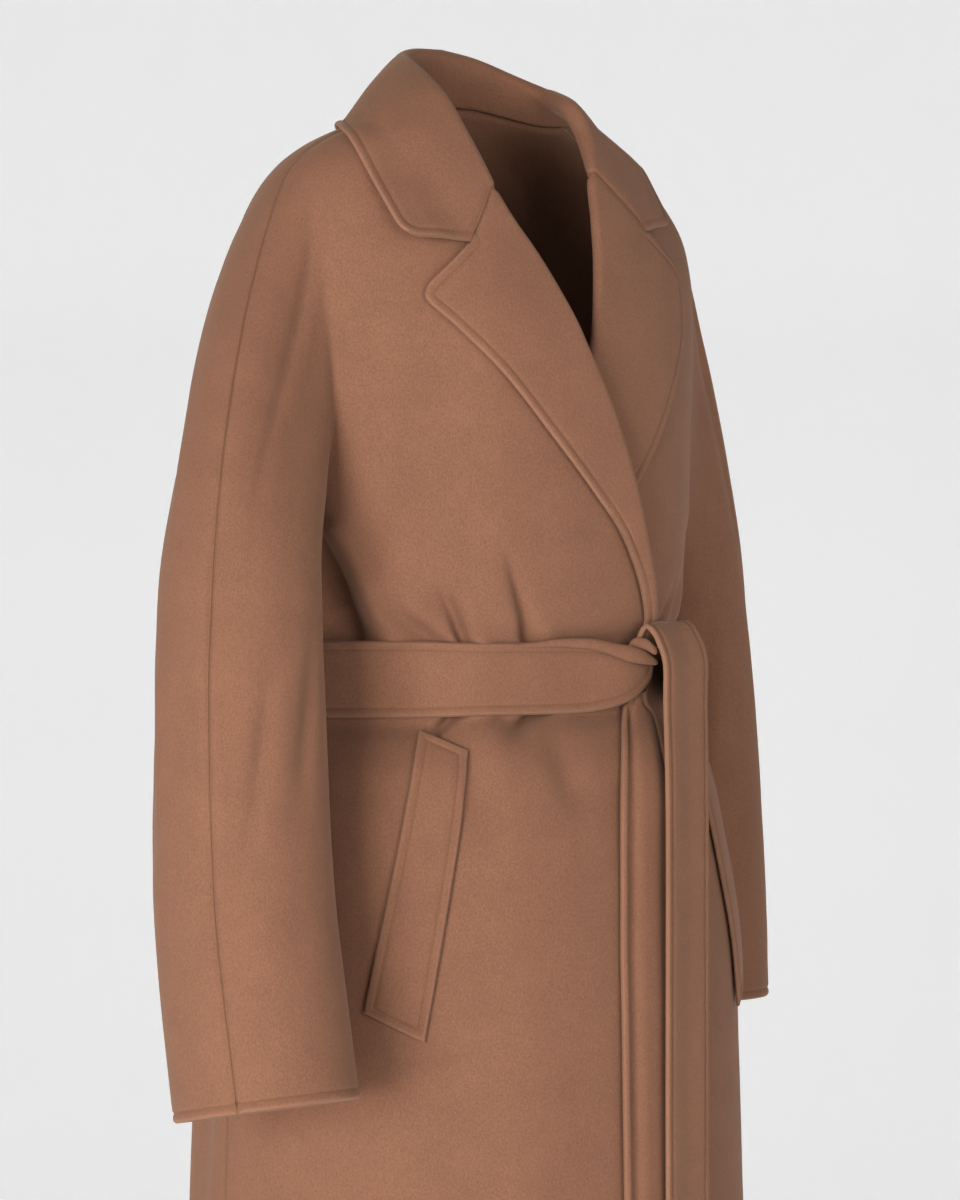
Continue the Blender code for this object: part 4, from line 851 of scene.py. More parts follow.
@dataclass
class Sleeve:
    """A wide sleeve in two halves, joined over and under the arm."""

    side: Side
    form: CoatForm
    front: Front
    back: Back
    squareness: float = 2.15
    overarm_twist: float = 34     # degrees that the seams turn to the front
    underarm_twist: float = 28
    underarm_start: float = 0.3   # share of the underarm's twist at the cap's last ring
    underarm_settles: float = 1.6
    cap_fullness: float = 1.05
    cap_rings: int = 26
    arm_rings: int = 44
    cuff_clear: float = 0.014     # even rings end this far above the cuff
    straight_below: float = 0.030
    underarm_smooth: float = 0.15     # share by which the cloth leaves the armhole along the body there
    smooth_by: float = 1.15
    fold_starts: float = 0.2      # places on the cap between which the folds come in
    fold_blend: float = 0.5
    outward_step: float = 0.02    # metres inside a ring that give the way outwards

    def __post_init__(self) -> None:
        """Reads the rings' table by the distance below the shoulders."""
        self.table = RIGHT_SLEEVE if self.side == Side.RIGHT else LEFT_SLEEVE
        self.read = readers(tuple(row._replace(height=-row.height) for row in self.table))

    def ring(self, height: float, angles: np.ndarray, moved: np.ndarray | float = 0.0) -> np.ndarray:
        """One ring of the arm. An angle of 0 faces the body, 90 the front, 180 outwards and 270 the back.

        Args:
            height: Of the ring's middle.
            angles: Degrees round it.
            moved: Metres outwards.

        Returns:
            Points, (angles, 3).
        """
        x, y, across, along, tilt = (float(read(-height)) for read in self.read)
        angle = np.radians(angles)
        inward = (across + moved) * power(np.cos(angle), self.squareness)
        forward = (along + moved) * power(np.sin(angle), self.squareness)
        lean = math.radians(tilt)
        return np.stack([x - self.side * inward, y - forward * math.cos(lean),
                         height + forward * math.sin(lean)], axis=-1)

    def armhole(self) -> list[tuple[np.ndarray, np.ndarray, np.ndarray]]:
        """The armhole's front and back half: points, outward normals and share of the way up.

        Returns:
            The three arrays of each half.
        """
        upper = FRONT_ROWS >= UNDERARM_ROW - SAME_ROW
        rows = FRONT_ROWS[upper]
        back_turn, back_height = self.back.places()
        back_upper = BACK_ROWS >= UNDERARM_ROW - SAME_ROW
        edge = 0 if self.side == Side.RIGHT else -1
        halves = []
        for turns, heights in ((self.side * self.front.outer_turn(rows), self.front.outer_height(rows)),
                               (back_turn[back_upper, edge], back_height[back_upper, edge])):
            points = self.form.point(turns, heights)
            along = lengths(points)
            halves.append((points, self.form.outward(turns, heights), along / along[-1]))
        return halves

    def sheets(self) -> list[Sheet]:
        """The front and back half as grids from the armhole to the cuff.

        Returns:
            The two sheets.
        """
        top, cuff = self.table[0].height, self.table[-1].height
        folds = SLEEVE_FOLDS[self.side]
        high = 180 - self.overarm_twist
        rings_below = np.linspace(0, 1, self.arm_rings + 1)[1:-2] * (top - cuff)
        drops = np.concatenate([rings_below[rings_below < top - cuff - self.cuff_clear],
                                top - cuff - np.array([0.0, *EDGE_STEPS])[::-1]])
        made = []
        for (start, normals, share), low, label in zip(
                self.armhole(), (self.underarm_twist, 360 + self.underarm_twist), ("front", "back")):
            back = low % 360 - self.underarm_twist * self.underarm_start
            angles = low - back + (high - low + back) * share
            stop, below = self.ring(top, angles), self.ring(top - self.straight_below, angles)
            leave = stop - start
            least = self.underarm_smooth
            smooth = (least + (1 - least) * ease(share * self.smooth_by))[:, None]
            leave = leave - normals * np.sum(leave * normals, axis=1, keepdims=True) * smooth
            size = np.linalg.norm(stop - start, axis=1, keepdims=True)
            leave, arrive = unit(leave) * size * self.cap_fullness, unit(below - stop) * size
            outward = unit(stop - self.ring(top, angles, -self.outward_step))
            rings = []
            for t in np.linspace(0, 1, self.cap_rings):
                risen = ease((t - self.fold_starts) / self.fold_blend)
                fold = (folded(folds, angles, t) * risen)[:, None] * outward
                rings.append(curve(t, start, leave, stop, arrive) + fold)
            for drop in drops:
                t = drop / (top - cuff)
                settled = angles + back * ease(t * self.underarm_settles) * (1 - share)
                rings.append(self.ring(top - drop, settled, folded(folds, settled, 1 + t)))
            points = np.array(rings)
            flip = (self.side == Side.LEFT) == (label == "front")
            made.append(Sheet(f"sleeve_{self.side.name.lower()}_{label}", points, reach(points, [points[-1]]),
                              reach(points, [points[:, 0], points[:, -1]]), flip))
        return made


@dataclass
class Collar:
    """The collar: stand, fold and leaf, from one gorge round the neck to the other."""

    form: CoatForm
    fronts: dict[Side, Front]
    back: Back
    fold_radius: float = 0.0045
    crown: float = 0.0045         # the leaf's crown above the straight line from fold to edge
    crown_shift: float = 0.8
    leaf_least: float = 0.0026    # the leaf's underside above what it lies on
    fold_settles: float = 0.30    # places up to which the fold and the leaf turn from the lapel's own
    leaf_settles: float = 0.40
    fold_step: float = 0.05
    first_foot: float = 0.08      # the place at which the stand begins
    corner_radius: float = 0.013
    corner_rows: int = 8          # the corners' sides are read this far from them
    corner_columns: int = 9
    corner_stands: float = 0.0045     # how far the leaf's free corner stands off the chest
    stands_over: float = 0.3
    evened_from: float = 0.02     # places between which the fold is evened
    evened_to: float = 0.55
    even_blend: float = 0.25
    even_share: float = 0.6
    even_rounds: int = 60
    stand_columns: int = 7
    arc_columns: int = 12
    under_heights: tuple[float, float] = (-0.160, 0.007)      # of the body under the leaf
    under_rows: int = 110
    under_columns: int = 181

    def __post_init__(self) -> None:
        """Reads both sides' tables and places close points on the body under the leaf."""
        self.read = {Side.RIGHT: readers(RIGHT_COLLAR), Side.LEFT: readers(LEFT_COLLAR)}
        self.under = {}
        for side in Side:
            turn, height = np.meshgrid(side * np.linspace(0, 180, self.under_columns),
                                       np.linspace(*self.under_heights, self.under_rows))
            self.under[side] = (self.form.on_front(side, turn, height).reshape(-1, 3),
                                self.form.outward(turn, height).reshape(-1, 3))

    def clear_of_body(self, side: Side, points: np.ndarray) -> np.ndarray:
        """Points of the leaf, with those too close to the body moved out from it.

        Args:
            side: The leaf's side.
            points: (n, 3).

        Returns:
            The points, (n, 3).
        """
        body, normal = self.under[side]
        moved = points.copy()
        for i, point in enumerate(points):
            near = np.argmin(np.sum((body - point) ** 2, axis=1))
            above = np.dot(point - body[near], normal[near])
            moved[i] += normal[near] * max(0.0, self.leaf_least - above)
        return moved

    def fold_line(self, side: Side, place: float) -> np.ndarray:
        """The line along which the collar folds over."""
        return np.array([float(value(place)) for value in self.read[side][:3]])

    def neckline(self, side: Side, place: float) -> tuple[np.ndarray, np.ndarray]:
        """The seam of the stand at a place: the point and the body's outward normal there.

        Args:
            side: The collar's side.
            place: From the gorge (0) to the centre back (2).

        Returns:
            The point and the normal.
        """
        if place > 1:
            turn, height = side * 90 * place, self.back.nape_height(place)
            return self.form.point(turn, height), self.form.outward(turn, height)
        front = self.fronts[side]
        row = GORGE_ROW + (1 - GORGE_ROW) * place
        height = front.inner_height(row)
        turn = self.form.turn_at(front.inner_x(row), height)
        return self.form.on_front(side, turn, height), self.form.outward(turn, height)

    def row(self, side: Side, place: float) -> np.ndarray:
        """One row, from the neckline up the stand, round the fold and down the leaf.

        Args:
            side: The collar's side.
            place: From the gorge (0) to the centre back (2).

        Returns:
            Points, (columns, 3), nan where there is no stand.
        """
        front = self.fronts[side]
        read = [float(value(place)) for value in self.read[side]]
        fold, edge = np.array(read[:3]), np.array(read[3:])
        point, normal, onward = front.fold_frame(GORGE_ROW)
        start = self.fold_line(side, 0.0)
        settled = float(ease(place / self.fold_settles))
        radius = self.fold_radius * settled + front.roll_radius * (1 - settled)
        fold = fold + (point + (onward + normal) * front.roll_radius - start) * (1 - settled)
        foot, off_body = self.neckline(side, max(place, self.first_foot))
        rise = unit(unit(fold - foot) * settled + onward * (1 - settled))
        step = self.fold_step
        out = np.cross(rise, self.fold_line(side, place + step) - self.fold_line(side, place - step))
        out = unit(out * np.sign(np.dot(out, off_body)))
        out = unit(out * settled + normal * (1 - settled))
        out = unit(out - rise * np.dot(out, rise))
        base = fold - (out + rise) * radius
        stand = foot + (base - foot) * np.linspace(0, 1, self.stand_columns + 1)[:, None]
        if place < self.first_foot - SAME_ROW:
            stand[:-1] = np.nan
        down = edge - base
        round_by = math.degrees(math.atan2(np.dot(down, out), np.dot(down, rise))) % 360
        arc = turned(base, out, rise, radius, 180 + (round_by - 180) * settled, self.arc_columns)
        across = np.linspace(0, 1, front.samples + 1)[1:]
        straight = arc[-1] + (edge - arc[-1]) * across[:, None]
        to_edge = unit(edge - arc[-1])
        crown_way = unit(out + rise - to_edge * np.dot(out + rise, to_edge))
        crown = self.crown * np.sin(np.pi * across ** self.crown_shift)
        leaf = self.clear_of_body(side, straight + crown_way * crown[:, None])
        share = float(ease(place / self.leaf_settles))
        standing = self.corner_stands * ease((across - front.notch_share) / self.stands_over) * (1 - share)
        if share < 1:
            lapel = front.lapel_row(GORGE_ROW)[1]
            near = int(front.notch_share * front.samples)
            past = np.linspace(0, 1, front.samples - near + 1)[1:, None]
            from_notch = lapel[near - 1] + (edge - lapel[near - 1]) * past
            ending = np.concatenate([lapel[:near], self.clear_of_body(side, from_notch)])
            leaf = ending + (leaf - ending) * share + normal * standing[:, None]
        return np.vstack([stand, arc, front.lapel_columns(arc[-1], leaf)])

    def evened(self, points: np.ndarray, places: np.ndarray) -> np.ndarray:
        """The collar's grid with its fold run on in one line from the lapel's roll at its first row.

        Args:
            points: The grid, whose first rows stand at the places.
            places: From the gorge on.

        Returns:
            The grid with its first rows evened.
        """
        made = points.copy()
        at = places[1:-1, None, None]
        before, after = places[:-2, None, None], places[2:, None, None]
        weight = self.even_share * ease(at / self.evened_from) * ease((self.evened_to - at) / self.even_blend)
        part = made[:len(places), self.stand_columns:]
        for _ in range(self.even_rounds):
            middle = (part[:-2] * (after - at) + part[2:] * (at - before)) / (after - before)
            part[1:-1] += (middle - part[1:-1]) * weight
        return made

    def sheets(self) -> list[Sheet]:
        """The collar as one grid, with its distances from edges and seams.

        Returns:
            The one sheet.
        """
        places = np.concatenate([[0, 0.008, 0.016, 0.028, 0.036, 0.043, 0.050, 0.060, 0.080, 0.100],
                                 np.linspace(0.13, 1.0, 27), np.linspace(1.0, 2.0, 21)[1:]])
        rows = [self.row(Side.RIGHT, float(place)) for place in places]
        rows += [self.row(Side.LEFT, float(place)) for place in places[-2::-1]]
        points = self.evened(self.evened(np.array(rows), places)[::-1], places)[::-1]
        last, rim = points.shape[0] - 1, points.shape[1] - 1
        for end, along in ((0, self.corner_rows), (last, last - self.corner_rows)):
            points = rounded(points, (end, rim), (along, rim - self.corner_columns), self.corner_radius)
        first = self.stand_columns + 1
        notch = first + self.arc_columns + self.fronts[Side.RIGHT].lapel_near - 2
        edge = np.ones(points.shape[:2])
        edge[:, first:] = reach(points[:, first:], [points[:, -1], points[0, notch:], points[-1, notch:]])
        seam = np.ones(points.shape[:2])
        seam[:, first:] = reach(points[:, first:], [points[0, first:notch + 1], points[-1, first:notch + 1]])
        return [Sheet("collar", points, edge, seam, False)]


@dataclass
class PocketWelt:
    """The slanted welt of a hip pocket, stitched down at its ends."""

    side: Side
    form: CoatForm
    lift: float = 0.0019
    top_outer: tuple[float, float] = (42.5, -0.449)       # corners, as turn and height
    top_inner: tuple[float, float] = (30.5, -0.463)
    low_outer: tuple[float, float] = (54.0, -0.634)
    low_inner: tuple[float, float] = (41.0, -0.654)
    rows: int = 56
    columns: int = 30

    def sheets(self) -> list[Sheet]:
        """The welt as one grid on the front's own points.

        Returns:
            The one sheet.
        """
        up = np.linspace(0, 1, CLOSE_ROWS)[:, None, None]
        across = np.linspace(0, 1, CLOSE_COLUMNS)[None, :, None]
        top_outer, top_inner, low_outer, low_inner = (
            np.array([self.side * turn, height])
            for turn, height in (self.top_outer, self.top_inner, self.low_outer, self.low_inner))
        outer = low_outer + (top_outer - low_outer) * up
        inner = low_inner + (top_inner - low_inner) * up
        at = outer + (inner - outer) * across
        close = self.form.on_front(self.side, at[..., 0], at[..., 1], self.lift + CLOTH)
        points = respace_grid(close, self.rows, self.columns, EDGE_STEPS)
        return [plain_sheet(f"pocket_welt_{self.side.name.lower()}", points,
                            [points[:, 0], points[0], points[-1], points[:, -1]], self.side == Side.LEFT)]


@dataclass
class BeltBand:
    """The belt's band round the waist, gathered towards the knot."""

    form: CoatForm
    width: float = 0.054
    height: float = -0.4125
    lift: float = 0.0050
    step_starts: float = -300     # the turn from which the band steps up onto the right front
    step_turn: float = 22
    rows: int = 300
    columns: int = 24

    def sheets(self) -> list[Sheet]:
        """The band as one grid, from the knot round to the knot.

        Returns:
            The one sheet.
        """
        turn, width_share, rise, lift = readers(BAND)
        place = np.concatenate([np.linspace(0, 4, 81)[:-1], np.linspace(4, 8, 261),
                                np.linspace(8, 9, 31)[1:]])
        across = np.linspace(-0.5, 0.5, BELT_COLUMNS)[None, :]
        turns = turn(place)[:, None] + 0 * across
        height = self.height + rise(place)[:, None] + self.width * width_share(place)[:, None] * across
        lifted = self.lift + lift(place)[:, None]
        over_right = self.form.on_front(Side.RIGHT, turns, height, lifted)
        step = self.form.wrap_lift_skirt * ease((self.step_starts - turns) / self.step_turn)
        over_left = self.form.point(turns, height, lifted + step)
        close = np.where((turns < -180)[..., None], over_left, over_right)
        points = respace_grid(close, self.rows, self.columns, BELT_STEPS)
        return [plain_sheet("belt_band", points, [points[::2, 0], points[::2, -1]], False)]


@dataclass
class BeltEnd:
    """A hanging end of the belt."""

    name: str
    table: tuple[EndPlace, ...]
    profile: tuple[tuple[float, float], ...]      # share across, metres out
    shaped_by: float = 3.0        # the place by which the profile is full
    rows: int = 130
    columns: int = 24

    def sheets(self) -> list[Sheet]:
        """The end as one grid, from the knot down.

        Returns:
            The one sheet.
        """
        height, left_x, left_y, width, yaw, right_rise = readers(self.table)
        place = np.linspace(0, self.table[-1].place, BELT_ROWS)[:, None]
        across = np.linspace(0, 1, BELT_COLUMNS)[None, :]
        angle = np.radians(yaw(place))
        out = reader(*zip(*self.profile))(across) * ease(place / self.shaped_by)
        close = np.stack([left_x(place) + width(place) * np.cos(angle) * across + np.sin(angle) * out,
                          left_y(place) + width(place) * np.sin(angle) * across - np.cos(angle) * out,
                          height(place) + right_rise(place) * across], axis=-1)
        points = respace_grid(close, self.rows, self.columns, BELT_STEPS)
        return [plain_sheet(self.name, points, [points[:, 0], points[:, -1], points[-1]], True)]


@dataclass
class BeltKnot:
    """The crossing of the half knot: the strand that rolls off the band's upper edge and goes in under the
    loop, and the short tongue of the turned belt that shows inside the loop."""

    around: int = 36
    along: int = 64
    crease_at: float = 0.62 * math.pi     # radians round the strand, from its thin side up
    crease_width: float = 0.30
    crease_depth: float = 0.16    # share of the strand's thickness
    end_length: float = 0.5       # places over which an end rounds off
    least_end: float = 0.0004

    def tube(self, table: tuple[StrandPlace, ...]) -> tuple[np.ndarray, list[tuple[int, ...]]]:
        """A strand with rounded ends.

        Args:
            table: Its places, with half its height and half its thickness at each.

        Returns:
            Points and faces of the closed strand.
        """
        x, y, z, half_up, half_through = readers(table)
        place = np.linspace(0, table[-1].place, self.along + 1)
        middle = np.stack([x(place), y(place), z(place)], axis=1)
        run = unit(np.gradient(middle, axis=0))
        through = unit(np.cross(run, [0.0, 0.0, 1.0]))
        up = np.cross(through, run)
        end = np.minimum(place, table[-1].place - place) / self.end_length
        close = np.sqrt(np.clip(1 - (1 - np.clip(end, 0, 1)) ** 2, self.least_end, 1))
        phi = np.linspace(0, 2 * math.pi, self.around, endpoint=False)
        groove = 1 - self.crease_depth * np.exp(-(((phi - self.crease_at) / self.crease_width) ** 2))
        thick = (half_through(place) * close)[:, None] * np.cos(phi) * groove
        high = (half_up(place) * close)[:, None] * np.sin(phi) * groove
        points = middle[:, None] + through[:, None] * thick[..., None] + up[:, None] * high[..., None]
        n = self.around
        faces = [(i * n + j, (i + 1) * n + j, (i + 1) * n + (j + 1) % n, i * n + (j + 1) % n)
                 for i in range(self.along) for j in range(n)]
        faces.append(tuple(range(n)))
        faces.append(tuple(reversed(range(self.along * n, (self.along + 1) * n))))
        return points.reshape(-1, 3), faces

    def mesh(self) -> tuple[np.ndarray, list[tuple[int, ...]]]:
        """Points and faces of both strands.

        Returns:
            Points, (n, 3), and the faces over them.
        """
        points, faces = self.tube(STRAND)
        more_points, more_faces = self.tube(TONGUE)
        return (np.vstack([points, more_points]),
                faces + [tuple(v + len(points) for v in face) for face in more_faces])


class Hold(Enum):
    """How a piece of cloth is held."""

    HUNG = "hung"
    LAID = "laid"
    FOLDED = "folded"


@dataclass(frozen=True)
class Piece:
    """One finished piece of the coat: the solids that it replaces, whose names its grids bear, how it is
    held, the rectangle round its cut, the area of what shows of it, and what it rests on."""

    name: str
    parts: tuple[str, ...]
    held: Hold
    width: float
    length: float
    area: float
    rests_on: tuple[str, ...] = ()
    thickness: float = CLOTH


PIECES = rows_of(
    Piece,
    ("back_cloth", ("back", "sleeve_right_back", "sleeve_left_back"), Hold.HUNG, 1.00, 1.17, 0.85),
    ("front_right_cloth", ("front_right", "sleeve_right_front"), Hold.HUNG, 0.66, 1.17, 0.46),
    ("front_left_cloth", ("front_left", "sleeve_left_front"), Hold.HUNG, 0.66, 1.17, 0.46),
    ("collar_cloth", ("collar",), Hold.FOLDED, 0.145, 0.46, 0.055, ("back_cloth",)),
    *((f"pocket_welt_{side}_cloth", (f"pocket_welt_{side}",), Hold.LAID, 0.044, 0.200, 0.0086,
       (f"front_{side}_cloth",)) for side in ("right", "left")),
    ("belt_band_cloth", ("belt_band",), Hold.LAID, 0.054, 0.93, 0.048, ("front_right_cloth", "back_cloth"),
     BELT_CLOTH),
    ("belt_end_front_cloth", ("belt_end_front",), Hold.HUNG, 0.056, 0.68, 0.037, ("belt_knot_cloth",),
     BELT_CLOTH),
    ("belt_end_under_cloth", ("belt_end_under",), Hold.HUNG, 0.056, 0.56, 0.030, ("belt_band_cloth",),
     BELT_CLOTH))


@dataclass
class Tailor:
    """Joins the grids, smooths where the sleeves leave the body, and gives every piece its thickness, rounded
    edges, stitched lines and seam valleys."""

    stitch_in: float = 0.0064     # the stitched line's distance from a free edge
    stitch_width: float = 0.0010
    stitch_depth: float = 0.0009
    roll_in: float = 0.0028       # the middle of the full rim outside the stitched line
    roll_width: float = 0.0018
    roll_depth: float = 0.0002
    seam_width: float = 0.0028
    seam_depth: float = 0.0017
    ease_rounds: int = 14         # of smoothing where a sleeve leaves the body
    ease_width: float = 0.030
    ease_share: float = 0.5
    wave: float = 0.0009          # unevenness of the hanging cloth
    wave_length: float = 0.085
    wave_upright: float = 0.55    # the waves are this much longer upwards
    wave_fine: float = 0.35       # share of finer waves, and how many times finer they are
    wave_finer: float = 2.7
    calm_within: float = 0.012    # the waves fade out this near a free edge
    made: dict[str, bpy.types.Object] = field(default_factory=dict)

    def faces(self, sheet: Sheet, offset: int) -> np.ndarray:
        """The four-sided faces of a grid, numbered over its own points from offset.

        Args:
            sheet: The grid.
            offset: The number of its first point.

        Returns:
            Numbers of points, (faces, 4).
        """
        there = ~np.isnan(sheet.points[..., 0])
        number = np.cumsum(there.ravel()).reshape(there.shape) - 1 + offset
        whole = there[:-1, :-1] & there[:-1, 1:] & there[1:, 1:] & there[1:, :-1]
        quads = np.stack([number[:-1, :-1], number[:-1, 1:], number[1:, 1:], number[1:, :-1]], axis=-1)[whole]
        return quads[:, ::-1] if sheet.flip else quads

    def join(self, sheets: Sequence[Sheet]) -> tuple[np.ndarray, ...]:
        """Welds grids where their points meet.

        Args:
            sheets: The grids.

        Returns:
            Points, faces, the sheet of each face, and each point's distance from edges and from seams.
        """
        points, edge, seam, faces, owner = [], [], [], [], []
        count = 0
        for k, sheet in enumerate(sheets):
            there = ~np.isnan(sheet.points[..., 0])
            made = self.faces(sheet, count)
            faces.append(made)
            owner.append(np.full(len(made), k))
            points.append(sheet.points[there])
            edge.append(sheet.edge[there])
            seam.append(sheet.seam[there])
            count += int(there.sum())
        every, faces, owner = np.concatenate(points), np.concatenate(faces), np.concatenate(owner)
        edge, seam = np.concatenate(edge), np.concatenate(seam)
        rim = np.unique(self.rim(faces, len(every))[:, 0])
        tree = kdtree.KDTree(len(rim))
        for i in rim:
            tree.insert(every[i], int(i))
        tree.balance()
        first = np.arange(len(every))
        for i in rim:
            near = [k for _, k, _ in tree.find_range(every[i], SAME_PLACE)]
            first[i] = min(near)
            edge[first[i]] = min(edge[first[i]], edge[i])
            seam[first[i]] = min(seam[first[i]], seam[i])
        return every, first[faces], owner, edge, seam

    @staticmethod
    def sides(faces: np.ndarray) -> np.ndarray:
        """The two ends of every side of every face."""
        return np.concatenate([np.stack([faces[:, k], faces[:, (k + 1) % 4]], axis=1) for k in range(4)])

    def rim(self, faces: np.ndarray, count: int) -> np.ndarray:
        """The edges that only one face has, in that face's direction.

        Args:
            faces: Numbers of points, (n, 4).
            count: More than the highest number.

        Returns:
            Pairs of numbers, (edges, 2).
        """
        pairs = self.sides(faces)
        pairs = pairs[pairs[:, 0] != pairs[:, 1]]
        keys = pairs[:, 0].astype(np.int64) * count + pairs[:, 1]
        return pairs[~np.isin(keys, pairs[:, 1].astype(np.int64) * count + pairs[:, 0])]

    @staticmethod
    def normals(points: np.ndarray, faces: np.ndarray) -> np.ndarray:
        """Normals at the points, from the faces round each.

        Args:
            points: (n, 3).
            faces: Numbers of points, (m, 4).

        Returns:
            Vectors of length 1, (n, 3).
        """
        corners = points[faces]
        crossed = np.cross(corners[:, 2] - corners[:, 0], corners[:, 3] - corners[:, 1])
        total = np.zeros_like(points)
        for k in range(4):
            np.add.at(total, faces[:, k], crossed)
        return unit(total)

    def smooth(self, points: np.ndarray, faces: np.ndarray, near: np.ndarray) -> np.ndarray:
        """Eases the surface where a sleeve leaves the body.

        Args:
            points: All points.
            faces: The welded faces.
            near: Each point's distance from the line to be eased.

        Returns:
            The moved points.
        """
        weight = ease(1 - near / self.ease_width)[:, None] * self.ease_share
        weight[np.unique(self.rim(faces, len(points)))] = 0
        pairs = np.unique(np.sort(self.sides(faces), axis=1), axis=0)
        for _ in range(self.ease_rounds):
            total, count = np.zeros_like(points), np.zeros(len(points))
            for a, b in ((0, 1), (1, 0)):
                np.add.at(total, pairs[:, a], points[pairs[:, b]])
                np.add.at(count, pairs[:, a], 1)
            points = points + (total / np.maximum(count, 1)[:, None] - points) * weight
        return points

    def waved(self, points: np.ndarray) -> np.ndarray:
        """The unevenness at each point, outwards.

        Args:
            points: (n, 3).

        Returns:
            Metres, (n,).
        """
        scale = 1 / self.wave_length
        finer = scale * self.wave_finer
        return np.array([
            self.wave * noise.noise(Vector((x * scale, y * scale, z * scale * self.wave_upright)))
            + self.wave_fine * self.wave * noise.noise(Vector((x, y, z)) * finer) for x, y, z in points])

    def sew(self, sheets: Sequence[Sheet], ease_lines: Sequence[np.ndarray] = ()) -> None:
        """Makes the pieces that are cut from some grids.

        Args:
            sheets: Every grid of those pieces, which are welded together.
            ease_lines: Lines round which the surface is eased.
        """
        points, faces, owner, edge, seam = self.join(sheets)
        if ease_lines:
            points = self.smooth(points, faces, reach(points, ease_lines))
        normals = self.normals(points, faces)
        points = points + normals * (self.waved(points) * ease(edge / self.calm_within))[:, None]
        pinch = (self.stitch_depth * np.exp(-(((edge - self.stitch_in) / self.stitch_width) ** 2))
                 - self.roll_depth * np.exp(-(((edge - self.roll_in) / self.roll_width) ** 2))
                 + self.seam_depth * np.exp(-((seam / self.seam_width) ** 2)))
        names = [sheet.name for sheet in sheets]
        for piece in (piece for piece in PIECES if piece.parts[0] in names):
            mine = faces[np.isin(owner, [names.index(part) for part in piece.parts])]
            used, flat = np.unique(mine, return_inverse=True)
            self.shell(piece, points[used], normals[used], flat.reshape(mine.shape), pinch[used], edge[used],
                       seam[used])

    def shell(self, piece: Piece, points: np.ndarray, normals: np.ndarray, faces: np.ndarray,
              pinch: np.ndarray, edge: np.ndarray, seam: np.ndarray) -> None:
        """Gives a face of cloth its thickness, with a rounded rim, and makes its object.

        Args:
            piece: What is made.
            points: The cloth's outer face.
            normals: Outwards at each point.
            faces: The outer face's four-sided faces.
            pinch: How far each face of the cloth is drawn in at each point.
            edge: Each point's distance from the nearest free edge.
            seam: And from the nearest seam.
        """
        outer = points - normals * pinch[:, None]
        inner = points - normals * (piece.thickness - pinch)[:, None]
        rim = self.rim(faces, len(points))
        out = np.zeros_like(points)
        across = np.cross(points[rim[:, 1]] - points[rim[:, 0]], normals[rim[:, 0]])
        for k in (0, 1):
            np.add.at(out, rim[:, k], unit(across))
        on_rim = np.unique(rim)
        out = unit(out)
        radius = np.linalg.norm(outer - inner, axis=1)[:, None] / 2
        middle = (outer + inner) / 2
        for face in (outer, inner):
            face[on_rim] -= out[on_rim] * radius[on_rim]
        count = len(points)
        number = np.zeros(count, int)
        number[on_rim] = 2 * count + np.arange(len(on_rim))
        a, b = rim[:, 0], rim[:, 1]
        rim_faces = np.concatenate([np.stack([b, a, number[a], number[b]], axis=1),
                                    np.stack([number[b], number[a], a + count, b + count], axis=1)])
        vertices = np.concatenate([outer, inner, middle[on_rim]])
        every = np.concatenate([faces, faces[:, ::-1] + count, rim_faces])
        self.add(piece.name, vertices, every.tolist(), {
            "edge_gap": np.concatenate([edge, edge, edge[on_rim]]),
            "seam_gap": np.concatenate([seam, seam, seam[on_rim]])})

    def add(self, name: str, vertices: np.ndarray, faces: Sequence[Sequence[int]],
            values: dict[str, np.ndarray]) -> None:
        """Makes a smooth-shaded object from points and faces.

        Args:
            name: The object's name.
            vertices: Its points.
            faces: Its faces, in which a welded point may stand twice.
            values: Named values, one for each point.
        """
        mesh = bpy.data.meshes.new(name)
        rings = [[v for k, v in enumerate(face) if v != face[k - 1]] for face in faces]
        mesh.from_pydata(vertices.tolist(), [], [ring for ring in rings if len(ring) > 2])
        mesh.validate()
        mesh.shade_smooth()
        for label, numbers in values.items():
            layer = mesh.attributes.new(label, "FLOAT", "POINT")
            layer.data.foreach_set("value", np.minimum(numbers, 1.0).astype(np.float32))
        self.made[name] = put(name, mesh)


def put(name: str, data: bpy.types.ID) -> bpy.types.Object:
    """Puts a mesh, light or camera in the scene as an object.

    Args:
        name: The object's name.
        data: The mesh, light or camera.

    Returns:
        The object.
    """
    made = bpy.data.objects.new(name, data)
    bpy.context.scene.collection.objects.link(made)
    return made


def linear(hex_colour: str) -> tuple[float, float, float, float]:
    """An sRGB hex colour as linear numbers with alpha 1."""
    values = [int(hex_colour[i:i + 2], 16) / 255 for i in (1, 3, 5)]
    return (*(v / 12.92 if v <= 0.04045 else ((v + 0.055) / 1.055) ** 2.4 for v in values), 1.0)


def new_material(name: str) -> tuple[bpy.types.Material, bpy.types.NodeTree]:
    """A material with an empty tree of nodes.

    Args:
        name: The material's name.

    Returns:
        The material and its tree.
    """
    made = bpy.data.materials.new(name)
    made.use_nodes = True
    made.node_tree.nodes.clear()
    return made, made.node_tree


def add_node(tree: bpy.types.NodeTree, kind: str, inputs: dict[str | int, object] | None = None,
             **settings: object) -> bpy.types.Node:
    """Adds a node with its settings and links.

    Args:
        tree: Where the node goes.
        kind: Blender's name for the kind of node, without its first word.
        inputs: For each input, a value, or the output or the node (by its first output) that feeds it.
        settings: Properties of the node.

    Returns:
        The node.
    """
    node = tree.nodes.new("ShaderNode" + kind)
    for name, value in settings.items():
        setattr(node, name, value)
    for name, value in (inputs or {}).items():
        source = value.outputs[0] if isinstance(value, bpy.types.Node) else value
        if isinstance(source, bpy.types.NodeSocket):
            tree.links.new(source, node.inputs[name])
        else:
            node.inputs[name].default_value = source
    return node


